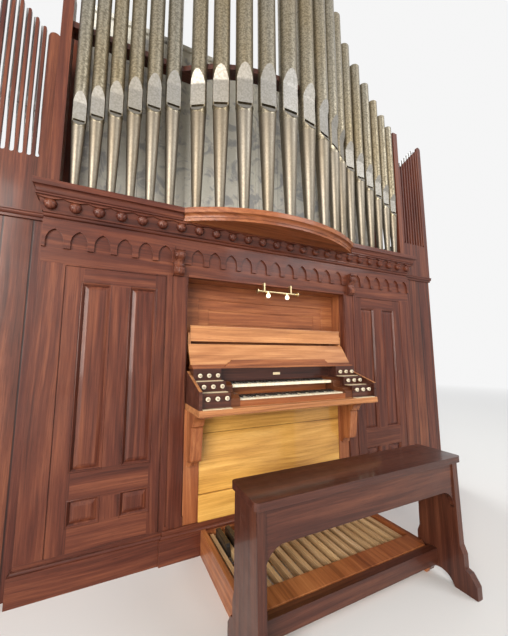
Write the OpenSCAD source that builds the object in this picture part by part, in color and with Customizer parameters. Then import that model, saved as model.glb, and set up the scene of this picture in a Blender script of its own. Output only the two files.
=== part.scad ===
// A two-manual pipe organ in a panelled wooden case: a console niche with pedalboard and bench,
// a bowed impost that carries the display pipes, and a narrow slatted wing at each side.
// Millimetres. Origin on the floor below the middle of the case front. X right, Y into the case, Z up.

/* [Case] */
// Width of the main case, without the wings
case_w = 3130; // [3000:10:3300]
// Depth of the case from its front to its back
case_d = 1250; // [1100:10:1500]
// Height of the impost top, on which the display pipes stand
impost_h = 2262; // [2200:2:2340]
// Height of the moulded plinth
plinth_h = 185; // [150:5:210]
// Thickness of the case frames and side boards
board_t = 34; // [28:1:40]
// Height of the frieze, between the panelled bays and the string moulding
frieze_h = 256; // [236:2:296]
// How far the impost cornice stands out from the case
cornice_out = 95; // [80:1:110]
// How far the middle of the bow stands out from the cornice
bow_rise = 222; // [180:2:240]
// Half the width of the bow at the cornice
bow_half = 760; // [740:5:780]

/* [Wings] */
// Width of each side wing
wing_w = 430; // [410:5:450]
// Number of slim pipes in each wing
wing_pipe_count = 8; // [6:1:8]
// Height of the lowest slat, beside the case
slat_low = 3300; // [3200:10:3400]
// Height of the highest slat, at the outer edge
slat_high = 3640; // [3500:10:3700]

/* [Console] */
// Half the width of the niche between the jamb posts
niche_half = 702; // [695:1:720]
// Depth of the niche behind the case front
niche_d = 190; // [170:5:230]
// Height of the lower keyboard above the floor
manual_h = 985; // [960:5:1000]
// Height step between the two keyboards
manual_step = 78; // [70:1:85]
// Number of white keys in a keyboard
natural_count = 36; // [34:1:36]
// Width of one white key
natural_w = 23.5; // [22.5:0.1:23.5]
// How far a stop knob draws out
knob_draw = 28; // [20:1:32]

/* [Pedalboard] */
// Number of long pedals
pedal_count = 18; // [17:1:18]
// Spacing of the long pedals
pedal_pitch = 62; // [58:1:63]
// Height of the pedalboard cheeks
pedal_cheek_h = 150; // [130:5:160]

/* [Bench] */
// How far the seat stands out past each slab end
seat_over = 13; // [8:1:40]
// Depth of the bench seat
bench_d = 262; // [250:2:280]
// Height of the bench seat
bench_h = 690; // [660:5:710]

/* [Display pipes] */
// Diameter of the middle pipe
pipe_d_max = 150; // [140:1:154]
// Diameter of the outermost pipe
pipe_d_min = 84; // [78:1:88]
// Height of the middle pipe above the impost
pipe_h_max = 3130; // [2900:10:3300]
// Height of the outermost pipe above the impost
pipe_h_min = 1440; // [1350:10:1500]

/* [Hidden] */
$fn = 48;
half_w = case_w / 2;
bay_in = niche_half + 143;
jamb_y = -8;
plinth_y = -20;
plinth_break = 16;
string_z0 = impost_h - 206;
bay_h = string_z0 - frieze_h;
string_z1 = string_z0 + 46;
string_out = 22;
cornice_y = -cornice_out;
cornice_side = 50;
cornice_squeeze = cornice_side / cornice_out;
slab_t = 36;
slab_out = 30;
cyma_r = 20;
band_h = 76;
fascia_z0 = string_z1 + band_h;
arch_pitch = 2 * niche_half / 11;
deck_t = 30;
frieze_t = board_t;
wall_top = string_z0;

// Circle of the bow through its two ends and its middle, and the parallel line of the pipe feet
bow_r = (bow_half * bow_half + bow_rise * bow_rise) / (2 * bow_rise);
bow_cy = cornice_y - bow_rise + bow_r;
pipe_set = 78;
pipe_wall = 2.5;
pipe_bore = 60;
pipe_bow_r = bow_r - pipe_set;
flat_pipe_y = 12;

// Console
bed_z0 = manual_h - 82;
bed_z1 = manual_h - 44;
bed_front = -335;
key_front = -262;
key_len = 142;
upper_front = key_front + 128;
manual_half = natural_count * natural_w / 2;
sharp_groups = [0, 1, 3, 4, 5];
cheek_in = 490;
jamb_out = niche_half - 4;
knob_x = [520, 580, 640];
knob_rows = [0, 1, 2];
row_rise = 63;
row_run = 88;
row_z = manual_h - 19;
knob_up = 34;
cheek_rise = 80;
row_face = -292;
stem_r = 5;
stem_fit = 0.3;
knob_r = 13;
stem_len = knob_draw + 24;
cheek_t = 20;
key_t = 20;
desk_x = niche_half - 34;
niche_top = bay_h;

// Underside of the shelf that closes the console, and the two boards of the music desk above it
console_top = manual_h + 184;
shelf_t = 26;
lower_z = [console_top + shelf_t, console_top + 168];
upper_z = [console_top + 187, console_top + 295];

// Pedalboard
pedal_half = pedal_count * pedal_pitch / 2;
pedal_front = -755;
pedal_back = plinth_y - plinth_break;
heel_w = 112;
pedal_top = pedal_cheek_h - 18;
pedal_cheek_t = 30;

// Bench
bench_y0 = -954;
bench_y1 = bench_y0 + bench_d;
seat_t = 32;
end_t = 40;
end_gap = 4;
end_x = pedal_half + pedal_cheek_t + end_gap + end_t;
seat_half = end_x + seat_over;

// Wings
wing_in = half_w;
wing_out = half_w + wing_w;
wing_y = 34;
wing_front = 12;
wing_back = 700;
slot_z0 = impost_h + 190;
stile_w = 46;
slat_pitch = (wing_w - 2 * stile_w) / wing_pipe_count;
slot_w = slat_pitch * 0.6;

KNOBS_LEFT = [for (r = knob_rows, c = [0:2]) str("stop_knob_l", r * 3 + c + 1)];
KNOBS_RIGHT = [for (r = knob_rows, c = [0:2]) str("stop_knob_r", r * 3 + c + 1)];
CASE_NODES = [
    "plinth", "case_frames", "case_panels", "jamb_posts", "side_walls", "back_wall",
    "frieze", "jamb_corbels", "string_moulding", "impost_cornice", "impost_bow", "impost_deck",
    "niche_back", "niche_sides", "niche_ceiling", "lamp_bar", "lamp_bulbs",
    "music_desk", "desk_ledge", "nameboard", "key_bed", "key_naturals", "key_sharps",
    "stop_jambs", "knee_panel", "knee_brackets",
    "pedal_frame", "pedal_naturals", "pedal_sharps",
    "bench_seat", "bench_ends", "bench_rails",
    "flat_pipes_left", "bow_pipes", "flat_pipes_right", "pipe_rail", "upper_posts", "swell_box",
    "wing_walls", "wing_imposts", "wing_screens", "wing_pipes"
];

// A block between two corners
module block(x0, x1, y0, y1, z0, z1) {
    translate([x0, y0, z0]) cube([x1 - x0, y1 - y0, z1 - z0]);
}

// The same shape on both sides of the middle plane
module both_sides() {
    children();
    mirror([1, 0, 0]) children();
}

// The same outline on both sides of the middle line
module both_sides_2d() {
    children();
    mirror([1, 0]) children();
}

// An outline in Y and Z, drawn out along X
module along_x(x0, x1) {
    translate([x0, 0, 0]) rotate([90, 0, 90]) linear_extrude(x1 - x0) children();
}

// An outline in X and Z, drawn out along Y
module along_y(y0, y1) {
    translate([0, y1, 0]) rotate([90, 0, 0]) linear_extrude(y1 - y0) children();
}

// Half outline of the cornice, inwards from its front: a fillet, a cyma, a soffit and a sloping band below it
module cornice_outline(height, depth) {
    fillet_z = height - slab_t;
    lip = 4;
    difference() {
        square([depth, height]);
        translate([-1, -1]) square([lip + 1, fillet_z + 1]);
        translate([lip, fillet_z - cyma_r]) circle(cyma_r);
        translate([-1, -1]) square([lip + cyma_r + 1, fillet_z - cyma_r + 1]);
        difference() {
            translate([-1, -1]) square([lip + 2 * cyma_r + 1, fillet_z - cyma_r + 1]);
            translate([lip + 2 * cyma_r, fillet_z - cyma_r]) circle(cyma_r);
            translate([lip + cyma_r, band_h]) square([cyma_r + 1, fillet_z - 2 * cyma_r - band_h + 1]);
        }
        polygon([[-1, -1], [cornice_out - 17, -1], [cornice_out - 17, 0], [lip + 2 * cyma_r + 4, band_h],
            [-1, band_h]]);
    }
}

// A moulded strip: a round nosing above a small hollow
module strip_outline(out, height, depth) {
    nose = height / 3;
    square([depth, height]);
    translate([0, height - nose]) circle(nose);
    translate([-out, height - 8]) square([out, 8]);
}

// A block whose front and two sides have the same moulded outline, mitred at the corners. On the sides the
// outline is narrowed by squeeze.
module moulded_ring(hw, y0, y1, height, squeeze = 1) {
    intersection() {
        along_x(-hw - 1, hw + 1) intersection() {
            translate([y0, 0]) children();
            translate([y0 - 60, 0]) square([y1 - y0 + 60, height]);
        }
        along_y(y0 - 60, y1) union() {
            intersection() {
                translate([-hw, 0]) scale([squeeze, 1]) children();
                translate([-hw - 60, 0]) square([hw + 60, height]);
            }
            mirror([1, 0]) intersection() {
                translate([-hw, 0]) scale([squeeze, 1]) children();
                translate([-hw - 60, 0]) square([hw + 60, height]);
            }
        }
    }
}

// Outline of the plinth: a plain board with a hollow under a set-back fillet
module plinth_outline(depth) {
    fillet = 26;
    difference() {
        square([depth, plinth_h]);
        translate([-1, plinth_h - fillet]) square([1 - plinth_y, fillet + 1]);
        translate([0, plinth_h - fillet]) circle(14);
    }
}

module plinth() {
    color([0.30, 0.16, 0.09]) difference() {
        union() {
            moulded_ring(half_w - plinth_y, plinth_y, case_d, plinth_h) plinth_outline(half_w + 100);
            moulded_ring(bay_in, plinth_y - plinth_break, 60, plinth_h) plinth_outline(bay_in + 100);
        }
        block(-half_w + 60, half_w - 60, 60, case_d - 60, -1, plinth_h + 1);
        both_sides() block(-half_w - 60, -half_w, wing_y + wing_front, case_d + 1, -1, plinth_h + 1);
    }
}

// Framed leaf of the left bay, and its openings: two tall panels over two low ones
leaf_x = [-half_w + 129, -bay_in - 2];
leaf_top = bay_h - 8;
leaf_mid = (leaf_x[0] + leaf_x[1]) / 2 + 13.5;
mullion = 124;
bay_x = [leaf_x[0] + 100, leaf_mid - mullion / 2, leaf_mid + mullion / 2, leaf_x[1] - 71];
bay_z = [322, 446, 610, bay_h - 112];
module bay_openings(grow) {
    for (c = [0, 1], r = [0, 1])
        translate([bay_x[2 * c] - grow, bay_z[2 * r] - grow])
            square([bay_x[2 * c + 1] - bay_x[2 * c] + 2 * grow, bay_z[2 * r + 1] - bay_z[2 * r] + 2 * grow]);
}

// Frames of the bays: a rebate round each panel, and a groove round the whole framed leaf
groove = 6;
rebate = 11;
module case_frames() {
    color([0.33, 0.18, 0.10]) both_sides() difference() {
        block(-half_w, -bay_in, 0, board_t, plinth_h, bay_h);
        along_y(-1, board_t + 1) bay_openings(0);
        along_y(-1, 7) bay_openings(rebate);
        along_y(-1, groove) difference() {
            translate([leaf_x[0], plinth_h - 1]) square([leaf_x[1] - leaf_x[0], leaf_top - plinth_h + 1]);
            translate([leaf_x[0] + groove, plinth_h - 1])
                square([leaf_x[1] - leaf_x[0] - 2 * groove, leaf_top - groove - plinth_h + 1]);
        }
    }
}

// A panel with a raised middle field and bevelled edges
module raised_panel(x0, x1, z0, z1, y_face, bevel, rise) {
    block(x0, x1, y_face, y_face + 14, z0, z1);
    intersection() {
        along_y(y_face - rise, y_face + 2) translate([x0 + 8, z0 + 8]) square([x1 - x0 - 16, z1 - z0 - 16]);
        along_x(x0, x1) polygon([
            [y_face + 2, z0 + 8], [y_face, z0 + 8], [y_face - rise, z0 + 8 + bevel],
            [y_face - rise, z1 - 8 - bevel], [y_face, z1 - 8], [y_face + 2, z1 - 8]]);
        translate([0, 0, z0]) linear_extrude(z1 - z0) polygon([
            [x0 + 8, y_face + 2], [x0 + 8, y_face], [x0 + 8 + bevel, y_face - rise],
            [x1 - 8 - bevel, y_face - rise], [x1 - 8, y_face], [x1 - 8, y_face + 2]]);
    }
}

module case_panels() {
    color([0.30, 0.16, 0.09]) both_sides() for (c = [0, 1], r = [0, 1])
        raised_panel(bay_x[2 * c], bay_x[2 * c + 1], bay_z[2 * r], bay_z[2 * r + 1], 18, 22, 8);
}

module jamb_posts() {
    color([0.36, 0.19, 0.11]) both_sides() difference() {
        block(-bay_in, -niche_half, jamb_y, 60, plinth_h, bay_h);
        along_x(-bay_in + 34, -bay_in + 44) translate([jamb_y - 1, plinth_h + 20]) square([7, bay_h]);
        block(-niche_half - 10, -niche_half + 1, jamb_y - 1, jamb_y + 8, plinth_h + 60, bay_h - 60);
    }
}

module side_walls() {
    color([0.30, 0.16, 0.09]) both_sides()
        block(-half_w, -half_w + board_t, board_t, case_d, plinth_h, wall_top);
}

module back_wall() {
    color([0.26, 0.15, 0.09])
        block(-half_w + board_t, half_w - board_t, case_d - 26, case_d, plinth_h, wall_top);
}

// A row of pointed arches that stand on small square feet, with a narrow shoulder where each arch springs
foot_w = 37;
foot_shoulder = 1;
arch_rise = 68;
module arcade(x0, count, z_crown, z_low) {
    half = (arch_pitch - foot_w) / 2;
    inner = half - foot_shoulder;
    r = (inner * inner + arch_rise * arch_rise) / (2 * inner);
    spring = z_crown - arch_rise;
    for (i = [0 : count - 1]) translate([x0 + arch_pitch * (i + 0.5), 0]) {
        intersection() {
            translate([r - inner, spring]) circle(r);
            translate([inner - r, spring]) circle(r);
            translate([-half, spring - 1]) square([2 * half, arch_rise + 2]);
        }
        translate([-half, z_low - 1]) square([2 * half, spring - z_low + 1]);
    }
}

// Frieze: boards with the arcade in relief, cut out for the corbels, and a sill strip over the niche
frieze_out = 14;
corbel_x = (bay_in + niche_half) / 2;
corbel_w = 70;
corbel_top = string_z0 - 71;
module frieze() {
    crown = string_z0 - 53;
    drop = bay_h + 90;
    sill_h = 22;
    color([0.33, 0.18, 0.10]) {
        both_sides() union() {
            block(-half_w, -niche_half, 0, frieze_t, bay_h, string_z0);
            along_y(-frieze_out, 0) difference() {
                translate([-half_w, drop]) square([half_w - niche_half, string_z0 - drop]);
                arcade(-half_w, 6, crown, drop);
                translate([-corbel_x - corbel_w / 2, drop - 1]) square([corbel_w, corbel_top - drop + 1]);
            }
        }
        union() {
            block(-niche_half, niche_half, 0, frieze_t, bay_h, string_z0);
            along_y(-frieze_out, 0) difference() {
                translate([-niche_half, drop]) square([2 * niche_half, string_z0 - drop]);
                arcade(-niche_half, 11, crown, drop);
            }
            block(-niche_half, niche_half, -frieze_out, 0, bay_h, bay_h + sill_h);
        }
    }
}

// Scrolled corbels on the heads of the jamb posts: two volutes under an abacus, set into the frieze
module jamb_corbels() {
    abacus = 17;
    upper = [-40, corbel_top - 44, 27];
    lower = [-27, bay_h + 27, 22];
    color([0.38, 0.20, 0.11]) both_sides() translate([-corbel_x, 0, 0]) {
        along_x(-corbel_w / 2, corbel_w / 2) difference() {
            union() {
                translate([-72, corbel_top - abacus]) square([72, abacus]);
                polygon([[0, bay_h], [lower[0], bay_h], [lower[0] - lower[2], lower[1]], [-60, upper[1]],
                    [-62, corbel_top - abacus], [0, corbel_top - abacus]]);
                for (v = [upper, lower]) translate([v[0], v[1]]) circle(v[2]);
            }
            translate([-72, bay_h + 85]) circle(40);
        }
        for (v = [upper, lower]) translate([-corbel_w / 2 - 3, v[0], v[1]]) rotate([0, 90, 0])
            cylinder(h = corbel_w + 6, r = 0.4 * v[2]);
    }
}

module string_moulding() {
    h = string_z1 - string_z0;
    color([0.38, 0.21, 0.12]) difference() {
        translate([0, 0, string_z0]) moulded_ring(half_w, 0, case_d, h) strip_outline(string_out, h, half_w + 100);
        block(-half_w + board_t, half_w - board_t, board_t, case_d - 26, string_z0 - 1, string_z1 + 1);
    }
}

// Cornice: its sloping band carries a row of round bosses, each under a lobe of the scalloped rim
boss_r = 32;
lobe_sag = 11;
lobe_drop = 16;
module impost_cornice() {
    h = impost_h - string_z1;
    half = arch_pitch / 2;
    lobe_r = (half * half + lobe_sag * lobe_sag) / (2 * lobe_sag);
    last_boss = floor((half_w - boss_r) / arch_pitch);
    color([0.31, 0.17, 0.10]) difference() {
        union() {
            translate([0, 0, string_z1])
                moulded_ring(half_w + cornice_side, cornice_y, case_d, h, cornice_squeeze)
                    cornice_outline(h, (half_w + 100) / cornice_squeeze);
            for (k = [-last_boss : last_boss])
                translate([k * arch_pitch, cornice_y + 66, string_z1 + band_h / 2]) sphere(boss_r);
            along_y(cornice_y + 36, cornice_y + 60) for (k = [-last_boss : last_boss]) intersection() {
                translate([k * arch_pitch, fascia_z0 - lobe_drop + lobe_r]) circle(lobe_r, $fn = 180);
                translate([k * arch_pitch - half, fascia_z0 - 2 * lobe_drop]) square([2 * half, 2 * lobe_drop]);
            }
        }
        block(-half_w + board_t, half_w - board_t, board_t, case_d - 26, string_z1 - 1, impost_h + 1);
        block(-bow_half, bow_half, cornice_y - 1, board_t + 1, fascia_z0, impost_h + 1);
        both_sides() block(-half_w - 60, -half_w, wing_y, case_d + 1, string_z1 - 1, impost_h + 1);
    }
}

// Area inside the bow, in plan
module bow_plan(r) {
    intersection() {
        translate([0, bow_cy]) circle(r, $fn = 180);
        translate([-bow_half, cornice_y - bow_rise - 1])
            square([2 * bow_half, bow_rise + 1 - cornice_y + board_t]);
    }
}

// The bow: a slab that overhangs a set-back fascia, with a flat soffit on the sloping band
module impost_bow() {
    color([0.42, 0.22, 0.11]) {
        translate([0, 0, fascia_z0]) linear_extrude(impost_h - fascia_z0) bow_plan(bow_r - slab_out);
        translate([0, 0, impost_h - slab_t]) linear_extrude(slab_t) bow_plan(bow_r);
    }
}

module impost_deck() {
    color([0.30, 0.17, 0.10])
        block(-half_w + board_t, half_w - board_t, board_t, case_d - 26, impost_h - deck_t, impost_h);
}

// Niche of the console: moulded frame and panel at the back, side boards and ceiling
frame_half = niche_half - 116;
panel_half = niche_half - 202;
niche_panel_z1 = bay_h - 188;
niche_frame_z1 = bay_h - 110;
niche_board_z = bay_h - 305;
niche_floor = manual_h + 110;
desk_back = 30;
module niche_back() {
    color([0.52, 0.28, 0.15]) {
        block(-niche_half, niche_half, niche_d, niche_d + 22, niche_floor, niche_top);
        block(-niche_half, niche_half, desk_back, niche_d + 1, niche_floor, niche_floor + 18);
        along_y(niche_d - 24, niche_d) difference() {
            translate([-niche_half, niche_floor]) square([2 * niche_half, niche_top - niche_floor]);
            translate([-frame_half, niche_floor - 1]) square([2 * frame_half, niche_frame_z1 - niche_floor + 1]);
        }
        along_y(niche_d - 14, niche_d) difference() {
            translate([-frame_half - 1, niche_floor]) square([2 * frame_half + 2, niche_frame_z1 - niche_floor + 1]);
            translate([-panel_half, niche_floor - 1]) square([2 * panel_half, niche_panel_z1 - niche_floor + 1]);
        }
        for (z = [[niche_floor, niche_board_z], [niche_board_z + 3, niche_panel_z1 + 1]])
            block(-panel_half - 1, panel_half + 1, niche_d - 6, niche_d, z[0], z[1]);
    }
}

module niche_sides() {
    color([0.40, 0.21, 0.12]) both_sides()
        block(-niche_half - 22, -niche_half, 60, niche_d + 22, plinth_h, niche_top);
}

module niche_ceiling() {
    color([0.40, 0.21, 0.12])
        block(-niche_half - 22, niche_half + 22, frieze_t, niche_d + 22, niche_top, niche_top + 20);
}

// Lamp over the desk: a bar with end rings on two short arms, and two bulbs below it
lamp_y = -40;
lamp_z = bay_h - 54;
lamp_half = 185;
lamp_x = 85;
module lamp_bar() {
    color([0.72, 0.62, 0.40]) {
        translate([-lamp_half, lamp_y, lamp_z]) rotate([0, 90, 0]) cylinder(h = 2 * lamp_half, r = 7);
        for (s = [-1, 1]) {
            translate([s * (lamp_half - 5) - 5, lamp_y, lamp_z]) rotate([0, 90, 0]) cylinder(h = 10, r = 19);
            translate([s * 120, 0, 0]) block(-6, 6, lamp_y - 5, -14, lamp_z - 5, bay_h + 12);
            translate([s * lamp_x, lamp_y, lamp_z - 14]) cylinder(h = 14, r = 12);
        }
    }
}

module lamp_bulbs() {
    color([1.0, 0.93, 0.75]) for (s = [-1, 1]) translate([s * lamp_x, lamp_y, lamp_z - 14]) {
        mirror([0, 0, 1]) cylinder(h = 10, r = 10);
        translate([0, 0, -18]) sphere(17);
    }
}

// Music desk: an upright upper board, and a lower board that leans back above the ledge
module music_desk() {
    color([0.66, 0.38, 0.20]) {
        block(-desk_x, desk_x, 36, 58, upper_z[0], upper_z[1]);
        block(-desk_x, desk_x, 28, 37, upper_z[0], upper_z[0] + 9);
        along_x(-desk_x - 16, desk_x + 16)
            polygon([[-62, lower_z[0]], [-40, lower_z[0]], [52, lower_z[1]], [30, lower_z[1]]]);
        both_sides() block(-desk_x - 16, -desk_x + 6, 40, niche_d - 24, lower_z[0] + 90, upper_z[0] + 60);
    }
}

// Ledge with stepped ogee ends, on the foot of the desk
ledge_half = 445;
module desk_ledge() {
    top = lower_z[0] + 31;
    step_z = lower_z[0] - 14;
    shelf_half = jamb_out - cheek_t;
    color([0.50, 0.27, 0.14]) {
        along_y(-86, -64) difference() {
            translate([-ledge_half, step_z]) square([2 * ledge_half, top - step_z]);
            for (s = [-1, 1]) {
                translate([s * ledge_half - 22, top - 18]) square([44, 19]);
                translate([s * ledge_half, top - 18]) circle(18);
                translate([s * (ledge_half - 22), top]) circle(18);
            }
        }
        along_x(-shelf_half, shelf_half) polygon([
            [-100, console_top], [10, console_top], [10, lower_z[0]], [-64, lower_z[0]],
            [-64, step_z], [-100, step_z]]);
    }
}

// Dark board behind the upper keyboard, and the roof strip above the stop jambs
module nameboard() {
    color([0.20, 0.09, 0.06]) {
        block(-cheek_in, cheek_in, -14, 10, manual_h + manual_step + 12, console_top);
        block(-36, 24, -16, -14, console_top - 58, console_top - 40);
    }
}

// Key bed with its round-edged front rail, key slip, and the blocks at both ends of the keyboards
nose_r = 8;
module key_bed() {
    color([0.58, 0.34, 0.17]) {
        along_x(-jamb_out, jamb_out) {
            translate([bed_front, bed_z0]) square([30 - bed_front, bed_z1 - nose_r - bed_z0]);
            translate([bed_front + nose_r, bed_z0]) square([30 - bed_front - nose_r, bed_z1 - bed_z0]);
            translate([bed_front + nose_r, bed_z1 - nose_r]) circle(nose_r);
        }
        block(-manual_half - 2, manual_half + 2, key_front - 24, key_front - 4, bed_z1 - 14, manual_h - 8);
        block(-manual_half, manual_half, key_front + 72, key_front + 112, bed_z1 - 14, manual_h - key_t);
        block(-manual_half, manual_half, upper_front + 72, upper_front + 112, bed_z1 - 14,
            manual_h + manual_step - key_t);
        both_sides() {
            along_x(-cheek_in, -manual_half - 2) polygon([
                [key_front - 24, bed_z1 - 14], [-14, bed_z1 - 14], [-14, manual_h + manual_step + 24],
                [upper_front + 20, manual_h + manual_step + 18], [upper_front - 24, manual_h + manual_step - 4],
                [upper_front - 24, manual_h + 34], [key_front + 12, manual_h + 28],
                [key_front - 24, manual_h + 6]]);
        }
    }
}

function is_sharp_after(i) = len(search(i % 7, sharp_groups)) > 0;

// One keyboard: white keys parted by saw cuts in front of their common tail
module natural_set(front, top) {
    difference() {
        block(-manual_half, manual_half, front, front + key_len, top - key_t, top);
        for (i = [1 : natural_count - 1])
            translate([-manual_half + i * natural_w - 0.6, front - 1, top - key_t - 1])
                cube([1.2, key_len - 12, key_t + 2]);
    }
}

module key_naturals() {
    color([0.90, 0.86, 0.76]) {
        natural_set(key_front, manual_h);
        natural_set(upper_front, manual_h + manual_step);
    }
}

module sharp_set(front, top) {
    for (i = [0 : natural_count - 2]) if (is_sharp_after(i))
        translate([-manual_half + (i + 1) * natural_w, 0, 0])
            along_x(-4.8, 4.8) polygon([
                [front + 50, top], [front + 52, top + 10], [front + key_len - 14, top + 11],
                [front + key_len - 14, top]]);
    block(-manual_half, manual_half, front + key_len - 14, front + key_len, top, top + 9);
}

module key_sharps() {
    color([0.06, 0.05, 0.05]) {
        sharp_set(key_front, manual_h);
        sharp_set(upper_front, manual_h + manual_step);
    }
}

// Terraced stop jamb: three steps with bored risers and pale treads, between sloping cheeks
function row_y(r) = row_face + r * row_run;
function row_base(r) = row_z + r * row_rise;
module stop_jambs() {
    top = console_top;
    color([0.24, 0.10, 0.07]) both_sides() difference() {
        union() {
            along_x(-jamb_out + cheek_t, -cheek_in) polygon([
                [row_y(0), bed_z1], [row_y(0), row_base(1)], [row_y(1), row_base(1)], [row_y(1), row_base(2)],
                [row_y(2), row_base(2)], [row_y(2), top], [-14, top], [-14, bed_z1]]);
            along_x(-jamb_out, -jamb_out + cheek_t) polygon([
                [bed_front + nose_r, bed_z1], [bed_front + nose_r, row_base(0) + cheek_rise],
                [-13, top - 18], [30, top - 18], [30, bed_z1]]);
        }
        for (r = knob_rows, x = knob_x) translate([-x, row_y(r) - 1, row_base(r) + knob_up])
            rotate([-90, 0, 0]) cylinder(h = stem_len + 6, r = stem_r + stem_fit);
    }
}

// One stop knob: a round ivory-faced head on a stem that slides in its bore
module stop_knob(side, row, col) {
    color([0.88, 0.84, 0.76])
        translate([side * knob_x[col], row_y(row), row_base(row) + knob_up]) rotate([90, 0, 0]) {
            translate([0, 0, -stem_len]) cylinder(h = stem_len + 6, r = stem_r);
            translate([0, 0, 5]) cylinder(h = 8, r = 8);
            translate([0, 0, 12]) cylinder(h = 12, r = knob_r);
            translate([0, 0, 23]) cylinder(h = 3, r = knob_r - 3);
        }
}

// Knee panel of three boards between the pilasters
knee_z = [plinth_h, 347, 731, bed_z0];
knee_half = niche_half - 102;
knee_y = 6;
knee_proud = 15;
module knee_panel() {
    color([0.76, 0.50, 0.22]) {
        block(-knee_half, knee_half, knee_y - knee_proud, knee_y + 22, knee_z[0], knee_z[1]);
        for (i = [1, 2]) block(-knee_half, knee_half, knee_y, knee_y + 22, knee_z[i] + 3, knee_z[i + 1]);
        block(-knee_half, knee_half, knee_y + 22, 44, plinth_h, bed_z0);
    }
}

// Pilasters beside the knee panel, each with a scrolled bracket under the key bed
bracket_z0 = 588;
bracket_out = 106;
brow_z = bed_z0 - 73;
module knee_brackets() {
    color([0.50, 0.29, 0.15]) both_sides() {
        block(-niche_half, -knee_half, 0, 60, plinth_h, bed_z0);
        along_x(-niche_half + 14, -knee_half - 14) {
            difference() {
                translate([bed_front + 12, brow_z]) square([-bed_front - 12, bed_z0 - brow_z]);
                translate([bed_front + 12, brow_z]) scale([2.5, 1]) circle(66);
            }
            translate([-150, brow_z - 14]) square([150, 15]);
            polygon([[0, bracket_z0], [18 - bracket_out, bracket_z0], [-bracket_out, bracket_z0 + 18],
                [-bracket_out - 24, brow_z - 40], [-bracket_out + 2, brow_z - 14], [0, brow_z - 14]]);
            translate([18 - bracket_out, bracket_z0 + 18]) circle(18);
            translate([-bracket_out + 2, brow_z - 40]) circle(26);
            difference() {
                translate([-70, bracket_z0 - 44]) square([70, 45]);
                translate([-70, bracket_z0 - 44]) circle(44);
            }
        }
    }
}

// Pedalboard: cheeks, back and heel boards, long pedals and raised short ones
module pedal_frame() {
    color([0.42, 0.20, 0.11]) {
        both_sides() along_x(-pedal_half - pedal_cheek_t, -pedal_half) polygon([
            [pedal_back, 0], [pedal_back, pedal_cheek_h], [pedal_front + 40, pedal_cheek_h],
            [pedal_front, pedal_cheek_h - 40], [pedal_front, 0]]);
        block(-pedal_half, pedal_half, pedal_back - 26, pedal_back, 20, pedal_cheek_h - 10);
        block(-pedal_half, pedal_half, pedal_front, pedal_front + heel_w, pedal_cheek_h - 30, pedal_cheek_h);
        block(-pedal_half, pedal_half, pedal_front + 12, pedal_front + 34, 14, pedal_cheek_h - 30);
        block(-pedal_half, pedal_half, -330, -290, 30, 62);
    }
}

pedal_w = 24;
tail_y = 60;
module pedal_naturals() {
    color([0.80, 0.62, 0.36]) {
        for (i = [0 : pedal_count - 1])
            translate([-pedal_half + (i + 0.5) * pedal_pitch, 0, 0])
                block(-pedal_w / 2, pedal_w / 2, pedal_front + heel_w, pedal_back - 40, pedal_top - 42, pedal_top);
        block(-pedal_half, pedal_half, pedal_back - tail_y, pedal_back - 26, pedal_top - 60, pedal_top - 20);
    }
}

sharp_y = -290;
module pedal_sharps() {
    color([0.10, 0.06, 0.05]) {
        for (i = [0 : pedal_count - 2]) if (is_sharp_after(i))
            translate([-pedal_half + (i + 1) * pedal_pitch, 0, 0])
                along_x(-pedal_w / 2, pedal_w / 2) polygon([
                    [sharp_y, pedal_top - 30], [sharp_y, pedal_top + 26], [sharp_y + 12, pedal_top + 40],
                    [-110, pedal_top + 46], [pedal_back - tail_y, pedal_top + 30],
                    [pedal_back - tail_y, pedal_top - 30]]);
    }
}

// Bench: seat with rounded corners, slab ends with flared feet, aprons and foot rail
module bench_seat() {
    r = 22;
    color([0.22, 0.10, 0.06]) translate([0, 0, bench_h - seat_t]) linear_extrude(seat_t) union() {
        for (x = [-1, 1], y = [bench_y0 + r, bench_y1 - r]) translate([x * (seat_half - r), y]) circle(r);
        translate([-seat_half + r, bench_y0]) square([2 * seat_half - 2 * r, bench_d]);
        translate([-seat_half, bench_y0 + r]) square([2 * seat_half, bench_d - 2 * r]);
    }
}

module bench_ends() {
    mid = (bench_y0 + bench_y1) / 2;
    color([0.24, 0.11, 0.07]) both_sides() along_x(-end_x, -end_x + end_t) difference() {
        polygon([
            [mid - 190, 0], [mid - 190, 62], [mid - 158, 110], [mid - 134, 118], [mid - 134, 190],
            [mid - 118, 230], [mid - 112, bench_h - seat_t], [mid + 112, bench_h - seat_t],
            [mid + 118, 230], [mid + 134, 190], [mid + 134, 118], [mid + 158, 110], [mid + 190, 62],
            [mid + 190, 0]]);
        translate([mid, -20]) circle(75);
    }
}

module bench_rails() {
    x1 = end_x - end_t;
    top = bench_h - seat_t;
    apron_h = 240;
    scoop = 90;
    color([0.22, 0.10, 0.06]) {
        for (y = [bench_y0 + 26, bench_y1 - 50]) along_y(y, y + 24) difference() {
            translate([-x1, top - apron_h]) square([2 * x1, apron_h]);
            translate([-x1 + scoop, top - apron_h - 1]) square([2 * (x1 - scoop), scoop + 1]);
            for (s = [-1, 1]) translate([s * (x1 - scoop), top - apron_h]) circle(scoop);
        }
        block(-x1, x1, pedal_front - 52, pedal_front - 8, 66, 148);
    }
}

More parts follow.
